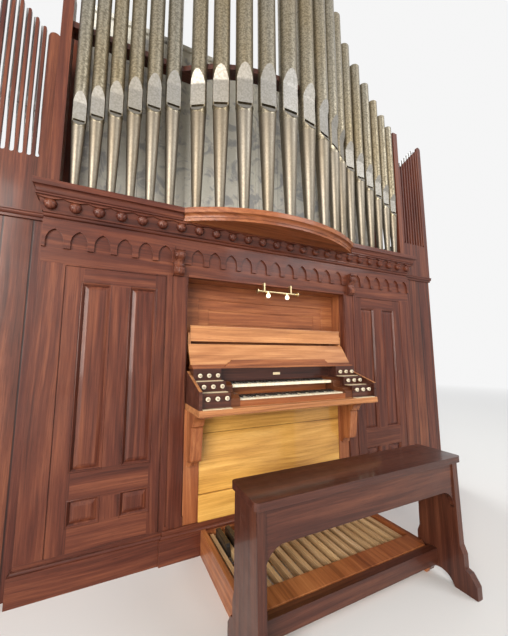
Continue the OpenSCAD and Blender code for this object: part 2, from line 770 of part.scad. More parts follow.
// Display pipes, counted from the middle outwards: 0 to 4 in the bow, 5 to 10 in a flat
function grade(k) = 1 - k / 10;
function pipe_d(k) = pipe_d_min + (pipe_d_max - pipe_d_min) * pow(grade(k), 1.15);
function pipe_h(k) = pipe_h_min + (pipe_h_max - pipe_h_min) * pow(grade(k), 1.25);
function mouth_h(k) = k <= 4 ? 865 - 15 * k : 800 - 66 * (k - 5);
function bow_angle(k) = k * 8.05 - 0.12 * k * k;
function flat_x(k) = 846 + 138 * (k - 5) - 4.4 * (k - 5) * (k - 5);
function pipe_xy(k) = k <= 4
    ? [pipe_bow_r * sin(bow_angle(k)), bow_cy - pipe_bow_r * cos(bow_angle(k))]
    : [flat_x(k), flat_pipe_y];

// A flue pipe: conical foot, flattened lips with a slit between them, and an open top. The flat of the
// upper lip runs out through an arched slope, and the lower lip through a shallow one.
module flue_pipe(d, height, mouth) {
    r = d / 2;
    flat_y = -0.45 * r;
    reach = 1.3 * r;
    run = (reach + flat_y) / (r + flat_y);
    slit = 0.14 * d;
    lip_top = mouth + slit + 1.45 * d;
    foot = mouth - 0.06 * d;
    difference() {
        union() {
            cylinder(h = foot, r1 = 0.17 * r, r2 = r);
            translate([0, 0, foot]) cylinder(h = height - foot, r = r);
        }
        along_x(-r - 1, r + 1) polygon([
            [flat_y, mouth], [flat_y, lip_top],
            [-reach, lip_top + 0.75 * d * run], [-reach, mouth - 0.45 * d * run]]);
        block(-0.38 * d, 0.38 * d, flat_y - 1, flat_y + 0.4 * r, mouth, mouth + slit);
        translate([0, 0, height - pipe_bore]) cylinder(h = pipe_bore + 1, r = r - pipe_wall);
    }
}

module display_pipe(k, side) {
    p = pipe_xy(k);
    turn = k <= 4 ? bow_angle(k) : 0;
    translate([side * p[0], p[1], impost_h]) rotate([0, 0, side * turn])
        flue_pipe(pipe_d(k), pipe_h(k), mouth_h(k));
}

module flat_pipes(side) {
    color([0.62, 0.58, 0.48]) for (k = [5 : 10]) display_pipe(k, side);
}

module bow_pipes() {
    color([0.62, 0.58, 0.48]) {
        display_pipe(0, 1);
        for (k = [1 : 4], side = [-1, 1]) display_pipe(k, side);
    }
}

// Rail behind the flat pipes and round the bow, scooped out where each pipe leans against it
rail_rise = 1150;
rail_in = 700;
rail_z = impost_h + rail_rise;
rail_t = 44;
rail_w = 90;
rail_end = half_w - 24;
module rail_plan() {
    rail_y = flat_pipe_y + 8;
    both_sides_2d() translate([-rail_end, rail_y]) square([rail_end - rail_in, rail_w]);
    intersection() {
        translate([0, bow_cy]) difference() {
            circle(pipe_bow_r - 8, $fn = 180);
            circle(pipe_bow_r - 8 - rail_w, $fn = 180);
        }
        translate([-half_w, cornice_y - bow_rise]) square([2 * half_w, rail_y + rail_w - cornice_y + bow_rise]);
    }
}

module pipe_rail() {
    color([0.24, 0.13, 0.08]) difference() {
        translate([0, 0, rail_z]) linear_extrude(rail_t) rail_plan();
        for (side = [-1, 1], k = [0 : 10]) {
            p = pipe_xy(k);
            translate([side * p[0], p[1], rail_z - 1]) cylinder(h = rail_t + 2, r = pipe_d(k) / 2 + 0.3);
        }
    }
}

// Posts on the impost corners, halved where the rail passes into them
post_w = 62;
post_h = 1420;
module upper_posts() {
    color([0.30, 0.17, 0.10]) both_sides() difference() {
        block(-half_w, -half_w + post_w, 0, flat_pipe_y + 8 + rail_w, impost_h, impost_h + post_h);
        block(-rail_end, -half_w + post_w + 1, flat_pipe_y + 8, flat_pipe_y + 9 + rail_w, rail_z, rail_z + rail_t);
    }
}

// Boarded swell box behind the pipes
swell_h = 1640;
swell_half = half_w - 120;
swell_y = 300;
swell_t = 28;
module swell_box() {
    top = impost_h + swell_h;
    color([0.62, 0.60, 0.52]) {
        difference() {
            block(-swell_half, swell_half, swell_y, case_d - 60, impost_h, top);
            block(-swell_half + swell_t, swell_half - swell_t, swell_y + swell_t, case_d - 60 - swell_t,
                impost_h - 1, top - swell_t);
        }
        block(-swell_half - 20, swell_half + 20, swell_y - 20, case_d - 40, top, top + 40);
        for (x = [-0.5, 0, 0.5])
            block(x * swell_half - 30, x * swell_half + 30, swell_y - 14, swell_y + 1, impost_h + 60, top - 60);
    }
}

// Wings: boarded walls, a moulded deck, a slatted screen and slim pipes behind it
module wing_walls() {
    color([0.30, 0.16, 0.09]) both_sides() {
        block(-wing_out + 12, -wing_in, wing_y + wing_front, wing_y + 40, 0, string_z0);
        block(-wing_out + 12, -wing_out + 40, wing_y + 40, wing_back, 0, string_z0);
        block(-wing_out + 40, -wing_in, wing_back - 24, wing_back, 0, string_z0);
    }
}

module wing_imposts() {
    h = string_z1 - string_z0;
    color([0.36, 0.20, 0.12]) both_sides() difference() {
        translate([-wing_out / 2 - wing_in / 2, 0, string_z0])
            moulded_ring(wing_w / 2, wing_y, wing_back, h) strip_outline(18, h, wing_w);
        block(-wing_in - string_out, -wing_in + 60, wing_y - 60, wing_back + 1, string_z0 - 1, string_z1 + 1);
    }
}

// Slatted screen: a plain board that rises in slats with round heads, and slots with round lower ends
function slat_top(i) = slat_low + (slat_high - slat_low) * i / wing_pipe_count;
slat_ease = 0.5;
module slat_screen() {
    difference() {
        union() {
            for (i = [0 : wing_pipe_count]) {
                w = (i == 0 || i == wing_pipe_count) ? stile_w + slat_pitch - slot_w : slat_pitch - slot_w;
                x = i == 0 ? w / 2 : i == wing_pipe_count ? wing_w - w / 2 : stile_w + i * slat_pitch;
                translate([x - w / 2, string_z1]) square([w, slat_top(i) - string_z1]);
                translate([x, slat_top(i)]) circle(w / 2 - slat_ease);
            }
            translate([0, string_z1]) square([wing_w, slot_z0 + slot_w / 2 - string_z1]);
        }
        for (i = [0 : wing_pipe_count - 1])
            translate([stile_w + (i + 0.5) * slat_pitch, slot_z0 + slot_w / 2]) circle(slot_w / 2 - slat_ease);
    }
}

module wing_screens() {
    color([0.33, 0.18, 0.10]) both_sides() union() {
        mirror([1, 0, 0]) translate([wing_in, 0, 0]) along_y(wing_y, wing_y + 22) slat_screen();
        block(-wing_out, -wing_out + 24, wing_y + 22, 420, string_z1, slot_z0);
        block(-wing_out + 24, -wing_in, wing_y + 22, 420, slot_z0 - 24, slot_z0 - 4);
    }
}

module wing_pipes() {
    color([0.66, 0.64, 0.58]) both_sides() for (i = [0 : wing_pipe_count - 1]) {
        d = 27 + i * 0.9;
        translate([-wing_in - stile_w - (i + 0.5) * slat_pitch, wing_y + 66, slot_z0 - 4])
            flue_pipe(d, slat_top(i) + 60 - slot_z0, 330 + 12 * i);
    }
}

plinth();
case_frames();
case_panels();
jamb_posts();
side_walls();
back_wall();
frieze();
jamb_corbels();
string_moulding();
impost_cornice();
impost_bow();
impost_deck();
niche_back();
niche_sides();
niche_ceiling();
lamp_bar();
lamp_bulbs();
music_desk();
desk_ledge();
nameboard();
key_bed();
key_naturals();
key_sharps();
stop_jambs();
knee_panel();
knee_brackets();
pedal_frame();
pedal_naturals();
pedal_sharps();
bench_seat();
bench_ends();
bench_rails();
flat_pipes(-1);  // flat_pipes_left
bow_pipes();
flat_pipes(1);  // flat_pipes_right
pipe_rail();
upper_posts();
swell_box();
wing_walls();
wing_imposts();
wing_screens();
wing_pipes();
for (r = knob_rows, c = [0:2]) {
    stop_knob(-1, r, c);
    stop_knob(1, r, c);
}
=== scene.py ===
"""Looks of the pipe organ: finishes, fine trim, floor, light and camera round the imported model."""
import math

import bmesh
import bpy
from mathutils import Matrix, Vector


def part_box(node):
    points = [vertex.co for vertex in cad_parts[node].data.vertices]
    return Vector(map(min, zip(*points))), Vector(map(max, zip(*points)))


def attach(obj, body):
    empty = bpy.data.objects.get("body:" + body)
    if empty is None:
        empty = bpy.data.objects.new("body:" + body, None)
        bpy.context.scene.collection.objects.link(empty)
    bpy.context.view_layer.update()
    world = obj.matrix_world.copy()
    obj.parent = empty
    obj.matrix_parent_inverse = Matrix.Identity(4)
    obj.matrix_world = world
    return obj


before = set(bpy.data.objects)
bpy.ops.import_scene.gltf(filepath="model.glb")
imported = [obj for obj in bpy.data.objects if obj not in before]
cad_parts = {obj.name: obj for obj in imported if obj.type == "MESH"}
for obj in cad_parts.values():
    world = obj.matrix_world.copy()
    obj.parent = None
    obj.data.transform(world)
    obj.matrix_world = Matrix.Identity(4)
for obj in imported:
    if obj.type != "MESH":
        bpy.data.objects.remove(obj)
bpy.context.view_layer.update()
BODY = "organ"

# Camera of the photograph, in metres and degrees
CAMERA_AT = (-1.185, -2.056, 1.25)
CAMERA_YAW, CAMERA_PITCH, CAMERA_ROLL = 25.82, 7.25, -0.11
CAMERA_LENS = 17.06


# Node trees

class Tree:
    """One material's nodes, with short ways to add and join them."""

    def __init__(self, name):
        self.mat = bpy.data.materials.new(name)
        self.mat.use_nodes = True
        self.nodes = self.mat.node_tree.nodes
        self.links = self.mat.node_tree.links
        self.nodes.clear()
        self.out = self.add("ShaderNodeOutputMaterial")
        self.shader = self.add("ShaderNodeBsdfPrincipled")
        self.links.new(self.shader.outputs[0], self.out.inputs["Surface"])
        self.round = None

    def add(self, kind, sockets=None, **props):
        node = self.nodes.new(kind)
        for key, value in props.items():
            setattr(node, key, value)
        for key, value in (sockets or {}).items():
            self.put(node.inputs[key], value)
        return node

    def put(self, socket, value):
        if isinstance(value, bpy.types.NodeSocket):
            self.links.new(value, socket)
        else:
            socket.default_value = value

    def math(self, operation, a, b=0.0, c=0.0, clamp=False):
        node = self.add("ShaderNodeMath", operation=operation, use_clamp=clamp)
        for socket, value in zip(node.inputs, (a, b, c)):
            self.put(socket, value)
        return node.outputs[0]

    def vector(self, operation, a, b=(0, 0, 0)):
        node = self.add("ShaderNodeVectorMath", operation=operation)
        self.put(node.inputs[0], a)
        self.put(node.inputs[1], b)
        return node.outputs["Value" if operation in ("LENGTH", "DOT_PRODUCT") else "Vector"]

    def mix(self, factor, a, b, blend="MIX"):
        node = self.add("ShaderNodeMix", data_type="RGBA", blend_type=blend)
        for socket, value in zip((node.inputs[0], node.inputs[6], node.inputs[7]), (factor, a, b)):
            self.put(socket, value)
        return node.outputs[2]

    def mix_vector(self, factor, a, b):
        node = self.add("ShaderNodeMix", data_type="VECTOR")
        for socket, value in zip((node.inputs[0], node.inputs[4], node.inputs[5]), (factor, a, b)):
            self.put(socket, value)
        return node.outputs[1]

    def split(self, vector):
        return self.add("ShaderNodeSeparateXYZ", {0: vector}).outputs

    def join(self, x, y, z):
        return self.add("ShaderNodeCombineXYZ", {0: x, 1: y, 2: z}).outputs[0]

    def noise(self, vector, scale, detail=3.0, rough=0.55, distortion=0.0):
        node = self.add("ShaderNodeTexNoise", {
            "Vector": vector, "Scale": scale, "Detail": detail, "Roughness": rough,
            "Distortion": distortion})
        return node.outputs[0]

    def stretched(self, vector, scales, *detail):
        """Noise with a scale of its own along X, Y and Z."""
        return self.noise(self.vector("MULTIPLY", vector, scales), 1.0, *detail)

    def white(self, value):
        node = self.add("ShaderNodeTexWhiteNoise", {"W": value}, noise_dimensions="1D")
        return node.outputs["Value"]

    def span(self, value, low, high, to_low=0.0, to_high=1.0):
        node = self.add("ShaderNodeMapRange", {0: value, 1: low, 2: high, 3: to_low, 4: to_high})
        return node.outputs[0]

    def ramp(self, factor, stops):
        node = self.add("ShaderNodeValToRGB", {0: factor})
        elements = node.color_ramp.elements
        while len(elements) < len(stops):
            elements.new(0.5)
        for element, (place, colour) in zip(elements, stops):
            element.position = place
            element.color = (*colour, 1.0)
        return node.outputs[0]

    def coords(self):
        return self.add("ShaderNodeTexCoord").outputs["Object"]

    def inside(self, x, z, boxes):
        """1 where |x| and z lie in one of the boxes (x0, x1, z0, z1)."""
        side = self.math("ABSOLUTE", x)
        total = 0.0
        for x0, x1, z0, z1 in boxes:
            found = 1.0
            for value, low, high in ((side, x0, x1), (z, z0, z1)):
                found = self.math("MULTIPLY", found, self.math("GREATER_THAN", value, low))
                found = self.math("MULTIPLY", found, self.math("LESS_THAN", value, high))
            total = self.math("MAXIMUM", total, found)
        return total

    def rounded(self, radius):
        """Normal of the surface with its arrises rounded off."""
        if not self.round:
            self.round = self.add("ShaderNodeBevel", {"Radius": radius}, samples=4).outputs[0]
        return self.round

    def edge(self, radius, low=0.02, high=0.25):
        """1 on the arrises, 0 on the flats."""
        plain = self.add("ShaderNodeNewGeometry").outputs["Normal"]
        across = self.vector("DOT_PRODUCT", self.rounded(radius), plain)
        return self.span(self.math("SUBTRACT", 1.0, across), low, high)

    def bump(self, height, strength, distance):
        node = self.add("ShaderNodeBump", {
            "Height": height, "Strength": strength, "Distance": distance})
        if self.round:
            self.links.new(self.round, node.inputs["Normal"])
        self.links.new(node.outputs[0], self.shader.inputs["Normal"])

    def set(self, **sockets):
        for key, value in sockets.items():
            self.put(self.shader.inputs[key.replace("_", " ")], value)


# Finishes

# Scales of the marks in timber, across the grain twice and then along it
WARP, GROWTH, FIGURE = (2.1, 2.1, 0.5), (3.4, 3.4, 0.26), (15.0, 15.0, 0.7)
STREAKS, FIBRES, PORES = (75.0, 75.0, 2.0), (260.0, 260.0, 6.5), (560.0, 560.0, 17.0)
EDGE_R = 0.003  # radius within which arrises are lightened on wood, by wear and painted highlight, and darkened on ivory


def darker(colour, share):
    return (*[c * share for c in colour], 1.0)


def lay_boards(t, grain, tone, board, joint, seed):
    """Gives each board its own grain and tone. The third value is 1 on the dark line between two boards."""
    gx, gy, _ = t.split(grain)
    place = t.math("DIVIDE", t.math("ADD", gx, gy), board)
    own = t.white(t.math("ADD", t.math("FLOOR", place), seed))
    shift = t.join(0.0, t.math("MULTIPLY", own, 5.3), t.math("MULTIPLY", own, 17.0))
    grain = t.vector("ADD", grain, shift)
    tone = t.math("ADD", t.math("MULTIPLY", tone, 0.5), t.math("MULTIPLY", own, 0.5))
    line = 0.0
    if joint:
        off = t.math("ABSOLUTE", t.math("SUBTRACT", t.math("FRACT", place), 0.5))
        line = t.span(off, 0.5 - 2.0 * joint / board, 0.5 - joint / board)
    return grain, tone, line


def timber_marks(t, grain):
    """Light and dark of the grain, its fibres and its pores."""
    warp = t.stretched(grain, WARP, 2.0)
    gx, gy, gz = t.split(grain)
    sway = t.math("MULTIPLY", t.math("SUBTRACT", warp, 0.5), 0.12)
    bent = t.join(t.math("ADD", gx, sway), gy, gz)
    growth = t.stretched(bent, GROWTH, 1.0, 0.4)
    figure = t.stretched(bent, FIGURE, 6.0, 0.6, 0.3)
    streak = t.stretched(bent, STREAKS, 4.0, 0.55)
    fibre = t.stretched(bent, FIBRES, 3.0, 0.6)
    pores = t.span(t.stretched(bent, PORES, 2.0), 0.60, 0.70)
    turns = t.math("ADD", t.math("MULTIPLY", growth, 84.0), t.math("MULTIPLY", streak, 3.0))
    blend = t.math("ADD", t.math("MULTIPLY", figure, 0.62), t.math("MULTIPLY", streak, 0.38))
    blend = t.math("ADD", blend, t.math("MULTIPLY", t.math("SINE", turns), 0.035))
    blend = t.math("ADD", blend, t.math("MULTIPLY", t.math("SUBTRACT", fibre, 0.5), 0.22))
    return blend, fibre, pores


def wood(name, tones, along="z", across=(), board=0.0, joint=0.0, rough=0.36, coat=0.2, seed=0.0,
         wear_and_highlight=0.3, stains=()):
    """Varnished timber. tones are its dark, middle and light colours. along is the grain's axis, and in
    the across boxes the grain runs along X. board is the width of its boards, and joint half the width
    of the dark line between them. stains are darker parts, each (boxes, colour)."""
    t = Tree(name)
    x, y, z = t.split(t.coords())
    grain = t.join(*{"x": (z, y, x), "y": (x, z, y), "z": (x, y, z)}[along])
    if across:
        grain = t.mix_vector(t.inside(x, z, across), grain, t.join(z, y, x))
    tone = t.noise(grain, 1.1, 2.0)
    line = 0.0
    if board:
        grain, tone, line = lay_boards(t, grain, tone, board, joint, seed)
    grain = t.vector("ADD", grain, (seed * 0.37, seed * 0.91, seed * 2.3))
    blend, fibre, pores = timber_marks(t, grain)
    dark, middle, light = tones
    colour = t.ramp(blend, [(0.30, dark), (0.5, middle), (0.72, light)])
    colour = t.mix(t.math("MULTIPLY", pores, 0.4), colour, darker(dark, 0.35))
    colour = t.add("ShaderNodeHueSaturation", {
        "Color": colour, "Value": t.span(tone, 0.2, 0.8, 0.80, 1.16),
        "Hue": t.span(tone, 0.2, 0.8, 0.495, 0.504)}).outputs[0]
    for boxes, tint in stains:
        stained = t.mix(1.0, colour, (*tint, 1.0), "MULTIPLY")
        colour = t.mix(t.inside(x, z, boxes), colour, stained)
    # Arrises lightened to a paler tone (bare): partly real wear, partly painted highlight along the edges
    worn_and_highlit = t.math("MULTIPLY", t.edge(EDGE_R), t.span(t.noise(grain, 23.0, 4.0), 0.42, 0.62))
    bare = (*[min(1.0, c * 1.5 + 0.02) for c in light], 1.0)
    colour = t.mix(t.math("MULTIPLY", worn_and_highlit, wear_and_highlight), colour, bare)
    relief = t.math("SUBTRACT", t.math("MULTIPLY", fibre, 0.35), t.math("MULTIPLY", pores, 0.5))
    if joint:
        colour = t.mix(t.math("MULTIPLY", line, 0.85), colour, darker(dark, 0.2))
        relief = t.math("SUBTRACT", relief, t.math("MULTIPLY", line, 3.0))
    t.set(Base_Color=colour, Coat_Weight=coat, Coat_Roughness=0.10, Specular_IOR_Level=0.20)
    t.set(Roughness=t.span(t.noise(grain, 9.0, 4.0), 0.3, 0.7, rough - 0.07, rough + 0.12))
    t.bump(relief, 0.35, 0.0006)
    return t.mat


SPOT_SCALE, FLECK_SCALE = 78.0, 210.0


def metal_spots(t, co):
    """1 in the dull round spots, whose outline wavers."""
    wander = t.add("ShaderNodeTexNoise", {"Vector": co, "Scale": 60.0}).outputs[1]
    place = t.vector("ADD", co, t.vector("MULTIPLY", wander, (0.012, 0.012, 0.012)))
    cells = t.add("ShaderNodeTexVoronoi", {
        "Vector": place, "Scale": SPOT_SCALE, "Randomness": 0.95}, feature="SMOOTH_F1").outputs[0]
    return t.span(cells, 0.25, 0.62)


def pipe_metal(name, base, spot, gold, shine=0.34, spots=1.0):
    """Spotted pipe metal: dull round spots in a brighter net, with a warm haze. shine is its roughness,
    and spots the strength of the spots."""
    t = Tree(name)
    co = t.coords()
    haze = t.stretched(co, (3.0, 3.0, 0.8), 4.0)
    patch = metal_spots(t, co)
    fleck = t.span(t.noise(co, FLECK_SCALE, 3.0, 0.7), 0.54, 0.70)
    colour = t.mix(t.math("MULTIPLY", patch, 0.75 * spots), (*base, 1.0), (*spot, 1.0))
    colour = t.mix(t.span(haze, 0.35, 0.7, 0.0, 0.75), colour, (*gold, 1.0), "MULTIPLY")
    colour = t.mix(t.math("MULTIPLY", fleck, 0.45 * spots), colour, darker(spot, 0.35))
    dull = t.span(haze, 0.2, 0.8, shine - 0.05, shine + 0.10)
    rough = t.math("ADD", dull, t.math("MULTIPLY", patch, 0.10 * spots))
    t.set(Base_Color=colour, Metallic=1.0, Roughness=rough)
    dent = t.noise(t.vector("MULTIPLY", co, (1.0, 1.0, 0.25)), 9.0, 2.0)
    t.bump(t.math("ADD", t.math("MULTIPLY", patch, -0.10), dent), 0.30, 0.0016)
    return t.mat


def brushed_metal(name, base, rough):
    """Brushed metal with fine lines and dull patches."""
    t = Tree(name)
    co = t.coords()
    lines = t.stretched(co, (30.0, 900.0, 900.0), 3.0)
    patch = t.noise(co, 35.0, 4.0)
    dull = t.span(patch, 0.4, 0.7, 0.0, 0.6)
    t.set(Base_Color=t.mix(dull, (*base, 1.0), darker(base, 0.6)), Metallic=1.0)
    t.set(Roughness=t.span(patch, 0.3, 0.7, rough - 0.05, rough + 0.15))
    t.bump(lines, 0.10, 0.0004)
    return t.mat


IVORY = [(0.25, (0.86, 0.79, 0.62)), (0.6, (0.83, 0.74, 0.54)), (0.85, (0.74, 0.62, 0.42))]
IVORY_LINES, IVORY_EDGE_DARK = (0.55, 0.44, 0.28, 1.0), (0.40, 0.30, 0.20, 1.0)


def ivory(name, key_width=0.0, tint=(1.0, 1.0, 1.0)):
    """Old ivory-coloured facing, yellowed, and where key_width is given a little different from key to
    key."""
    t = Tree(name)
    co = t.coords()
    lines = t.stretched(co, (600.0, 12.0, 60.0), 3.0)
    yellow = t.noise(co, 12.0, 3.0)
    if key_width:
        key = t.white(t.math("FLOOR", t.math("DIVIDE", t.split(co)[0], key_width)))
        yellow = t.math("ADD", t.math("MULTIPLY", yellow, 0.5), t.math("MULTIPLY", key, 0.5))
    colour = t.mix(t.span(lines, 0.5, 0.7, 0.0, 0.25), t.ramp(yellow, IVORY), IVORY_LINES)
    # Darker along the arrises
    colour = t.mix(t.math("MULTIPLY", t.edge(EDGE_R), 0.25), colour, IVORY_EDGE_DARK)
    colour = t.mix(1.0, colour, (*tint, 1.0), "MULTIPLY")
    t.set(Base_Color=colour, Roughness=t.span(yellow, 0.2, 0.8, 0.20, 0.34))
    t.set(Coat_Weight=0.3, Coat_Roughness=0.1)
    t.set(Subsurface_Weight=0.05, Subsurface_Radius=(0.004, 0.003, 0.002))
    t.bump(lines, 0.06, 0.0003)
    return t.mat


PAINT, PAINT_WORN, PAINT_STAIN = (0.72, 0.70, 0.62, 1.0), (0.40, 0.40, 0.40, 1.0), (0.58, 0.54, 0.44, 1.0)
JOIN_DARK, JOIN_PITCH, JOIN_SHARE = (0.16, 0.13, 0.10, 1.0), 0.21, 0.018


def mottled_paint(name):
    """Pale distemper on boards, gone patchy, with a dark seam between the boards."""
    t = Tree(name)
    co = t.coords()
    patch = t.span(t.noise(co, 7.0, 6.0, 0.6, 0.8), 0.50, 0.60)
    fine = t.noise(co, 45.0, 4.0)
    colour = t.mix(patch, PAINT, PAINT_WORN)
    colour = t.mix(t.span(fine, 0.4, 0.7, 0.0, 0.35), colour, PAINT_STAIN)
    place = t.math("FRACT", t.math("DIVIDE", t.split(co)[0], JOIN_PITCH))
    seam = t.math("LESS_THAN", place, JOIN_SHARE)
    colour = t.mix(t.math("MULTIPLY", seam, 0.6), colour, JOIN_DARK)
    t.set(Base_Color=colour, Roughness=t.span(fine, 0.3, 0.7, 0.55, 0.8))
    t.bump(t.math("SUBTRACT", t.math("MULTIPLY", fine, 0.3), seam), 0.4, 0.0012)
    return t.mat


def lamp_glass(name):
    """Frosted warm bulb, faintly lit."""
    t = Tree(name)
    frost = t.noise(t.coords(), 300.0, 2.0)
    t.set(Base_Color=t.mix(frost, (1.0, 0.93, 0.78, 1.0), (1.0, 0.97, 0.9, 1.0)))
    t.set(Roughness=t.span(frost, 0.3, 0.7, 0.12, 0.3), Transmission_Weight=0.35)
    t.set(Emission_Color=(1.0, 0.88, 0.62, 1.0), Emission_Strength=0.9)
    return t.mat


CASE = ((0.030, 0.0068, 0.0040), (0.092, 0.0235, 0.0118), (0.195, 0.0610, 0.0280))
NICHE = ((0.110, 0.030, 0.011), (0.270, 0.086, 0.030), (0.440, 0.175, 0.065))
DESK = ((0.220, 0.080, 0.028), (0.430, 0.178, 0.066), (0.620, 0.310, 0.130))
KNEE = ((0.330, 0.150, 0.030), (0.580, 0.300, 0.066), (0.760, 0.450, 0.125))
DARK = ((0.018, 0.0050, 0.0035), (0.056, 0.0160, 0.0090), (0.120, 0.0400, 0.0210))
MAPLE = ((0.380, 0.235, 0.115), (0.560, 0.375, 0.195), (0.700, 0.510, 0.300))
EBONY = ((0.008, 0.006, 0.005), (0.018, 0.014, 0.012), (0.045, 0.034, 0.028))

# Rails and low fields of the left and right bays, where the grain lies level: x0, x1, z0, z1
BAY_RAILS = [(0.918, 1.336, 0.185, 0.322), (0.918, 1.336, 0.446, 0.610), (0.918, 1.336, 1.688, 1.80)]

# Darker parts of the key bed: the blocks at the ends of the keyboards, and the rails between them
KEY_BED_STAINS = (([(0.4245, 0.500, 0.9415, 1.20)], (0.24, 0.17, 0.16)),
                  ([(0.0, 0.4245, 0.9415, 1.20)], (0.55, 0.40, 0.34)))
KEY_W = 0.0235

FINISH = {
    "plinth": wood("wood_plinth", CASE, "x", seed=1),
    "case_frames": wood("wood_frames", CASE, "z", BAY_RAILS, seed=2),
    "case_panels": wood("wood_panels", CASE, "z", board=0.14, seed=3),
    "jamb_posts": wood("wood_jambs", CASE, "z", seed=4),
    "side_walls": wood("wood_sides", CASE, "z", board=0.208, joint=0.0012, seed=5),
    "back_wall": wood("wood_back", CASE, "z", board=0.22, joint=0.0015, seed=6),
    "frieze": wood("wood_frieze", CASE, "x", seed=7),
    "jamb_corbels": wood("wood_corbels", CASE, "z", seed=34),
    "string_moulding": wood("wood_string", CASE, "x", seed=8),
    "impost_cornice": wood("wood_cornice", CASE, "x", seed=9),
    "impost_bow": wood("wood_bow", NICHE, "x", seed=10),
    "impost_deck": wood("wood_deck", CASE, "x", board=0.2, seed=11),
    "niche_back": wood("wood_niche", NICHE, "x", board=0.118, seed=12),
    "niche_sides": wood("wood_niche_sides", NICHE, "z", seed=13),
    "niche_ceiling": wood("wood_ceiling", NICHE, "x", board=0.1, seed=14),
    "music_desk": wood("wood_desk", DESK, "x", seed=15, coat=0.5),
    "desk_ledge": wood("wood_ledge", NICHE, "x", seed=16, coat=0.5),
    "nameboard": wood("wood_nameboard", DARK, "x", seed=17, coat=0.35),
    "key_bed": wood("wood_key_bed", DESK, "x", seed=18, stains=KEY_BED_STAINS),
    "stop_jambs": wood("wood_stop_jambs", DARK, "x", seed=19, coat=0.35),
    "knee_panel": wood("wood_knee", KNEE, "x", seed=20, coat=0.5),
    "knee_brackets": wood("wood_brackets", NICHE, "z", seed=21),
    "pedal_frame": wood("wood_pedal_frame", NICHE, "y", seed=22),
    "pedal_naturals": wood("wood_pedals", MAPLE, "y", board=0.062, seed=23, coat=0.15, rough=0.42),
    "pedal_sharps": wood("wood_pedal_sharps", EBONY, "y", seed=24, coat=0.3),
    "bench_seat": wood("wood_bench_seat", DARK, "x", seed=25, coat=0.45),
    "bench_ends": wood("wood_bench_ends", DARK, "z", seed=26, coat=0.35),
    "bench_rails": wood("wood_bench_rails", DARK, "x", seed=27, coat=0.35),
    "key_sharps": wood("wood_key_sharps", EBONY, "y", seed=28, coat=0.5),
    "pipe_rail": wood("wood_pipe_rail", DARK, "x", seed=29),
    "upper_posts": wood("wood_posts", CASE, "z", seed=30),
    "wing_walls": wood("wood_wing_walls", CASE, "z", board=0.143, joint=0.003, seed=31),
    "wing_imposts": wood("wood_wing_imposts", CASE, "x", seed=32),
    "wing_screens": wood("wood_wing_screens", CASE, "z", board=0.09, seed=33),
    "swell_box": mottled_paint("paint_backing"),
    "key_naturals": ivory("ivory_keys", KEY_W),
    "lamp_bar": brushed_metal("brass_lamp", (0.62, 0.50, 0.28), 0.28),
    "lamp_bulbs": lamp_glass("glass_bulbs"),
}
# Metals: the brighter net, the spots and the haze, and then the roughness and the strength of the spots
SPOTTED = pipe_metal(
    "metal_pipes", (0.340, 0.310, 0.250), (0.130, 0.112, 0.080), (0.88, 0.74, 0.50))
FOOT_METAL = pipe_metal(
    "metal_feet", (0.235, 0.210, 0.172), (0.150, 0.128, 0.100), (0.88, 0.76, 0.60), 0.42, 0.4)
TIN = pipe_metal(
    "metal_wing_pipes", (0.56, 0.56, 0.56), (0.38, 0.38, 0.38), (0.95, 0.92, 0.86), 0.24, 0.4)
LIP_METAL = pipe_metal(
    "metal_lips", (0.330, 0.315, 0.290), (0.200, 0.186, 0.162), (0.92, 0.86, 0.76), 0.44, 0.7)
KNOB_IVORY = ivory("ivory_knobs")
KNOB_LINE = wood("knob_line", EBONY, "x", seed=40, coat=0.2)
KNOB_DARK_MIDDLE = ivory("knob_middle", tint=(0.50, 0.40, 0.40))
# Pale ivory for the strips on the treads, which are painted highlight, and for the name plate
TREAD_HIGHLIGHT_AND_PLATE = ivory("tread_highlight_strips", tint=(0.94, 0.84, 0.72))
for pipes in ("flat_pipes_left", "bow_pipes", "flat_pipes_right"):
    FINISH[pipes] = SPOTTED
FINISH["wing_pipes"] = TIN

for name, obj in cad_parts.items():
    obj.data.materials.clear()
    obj.data.materials.append(FINISH.get(name, KNOB_IVORY))


# Mesh code

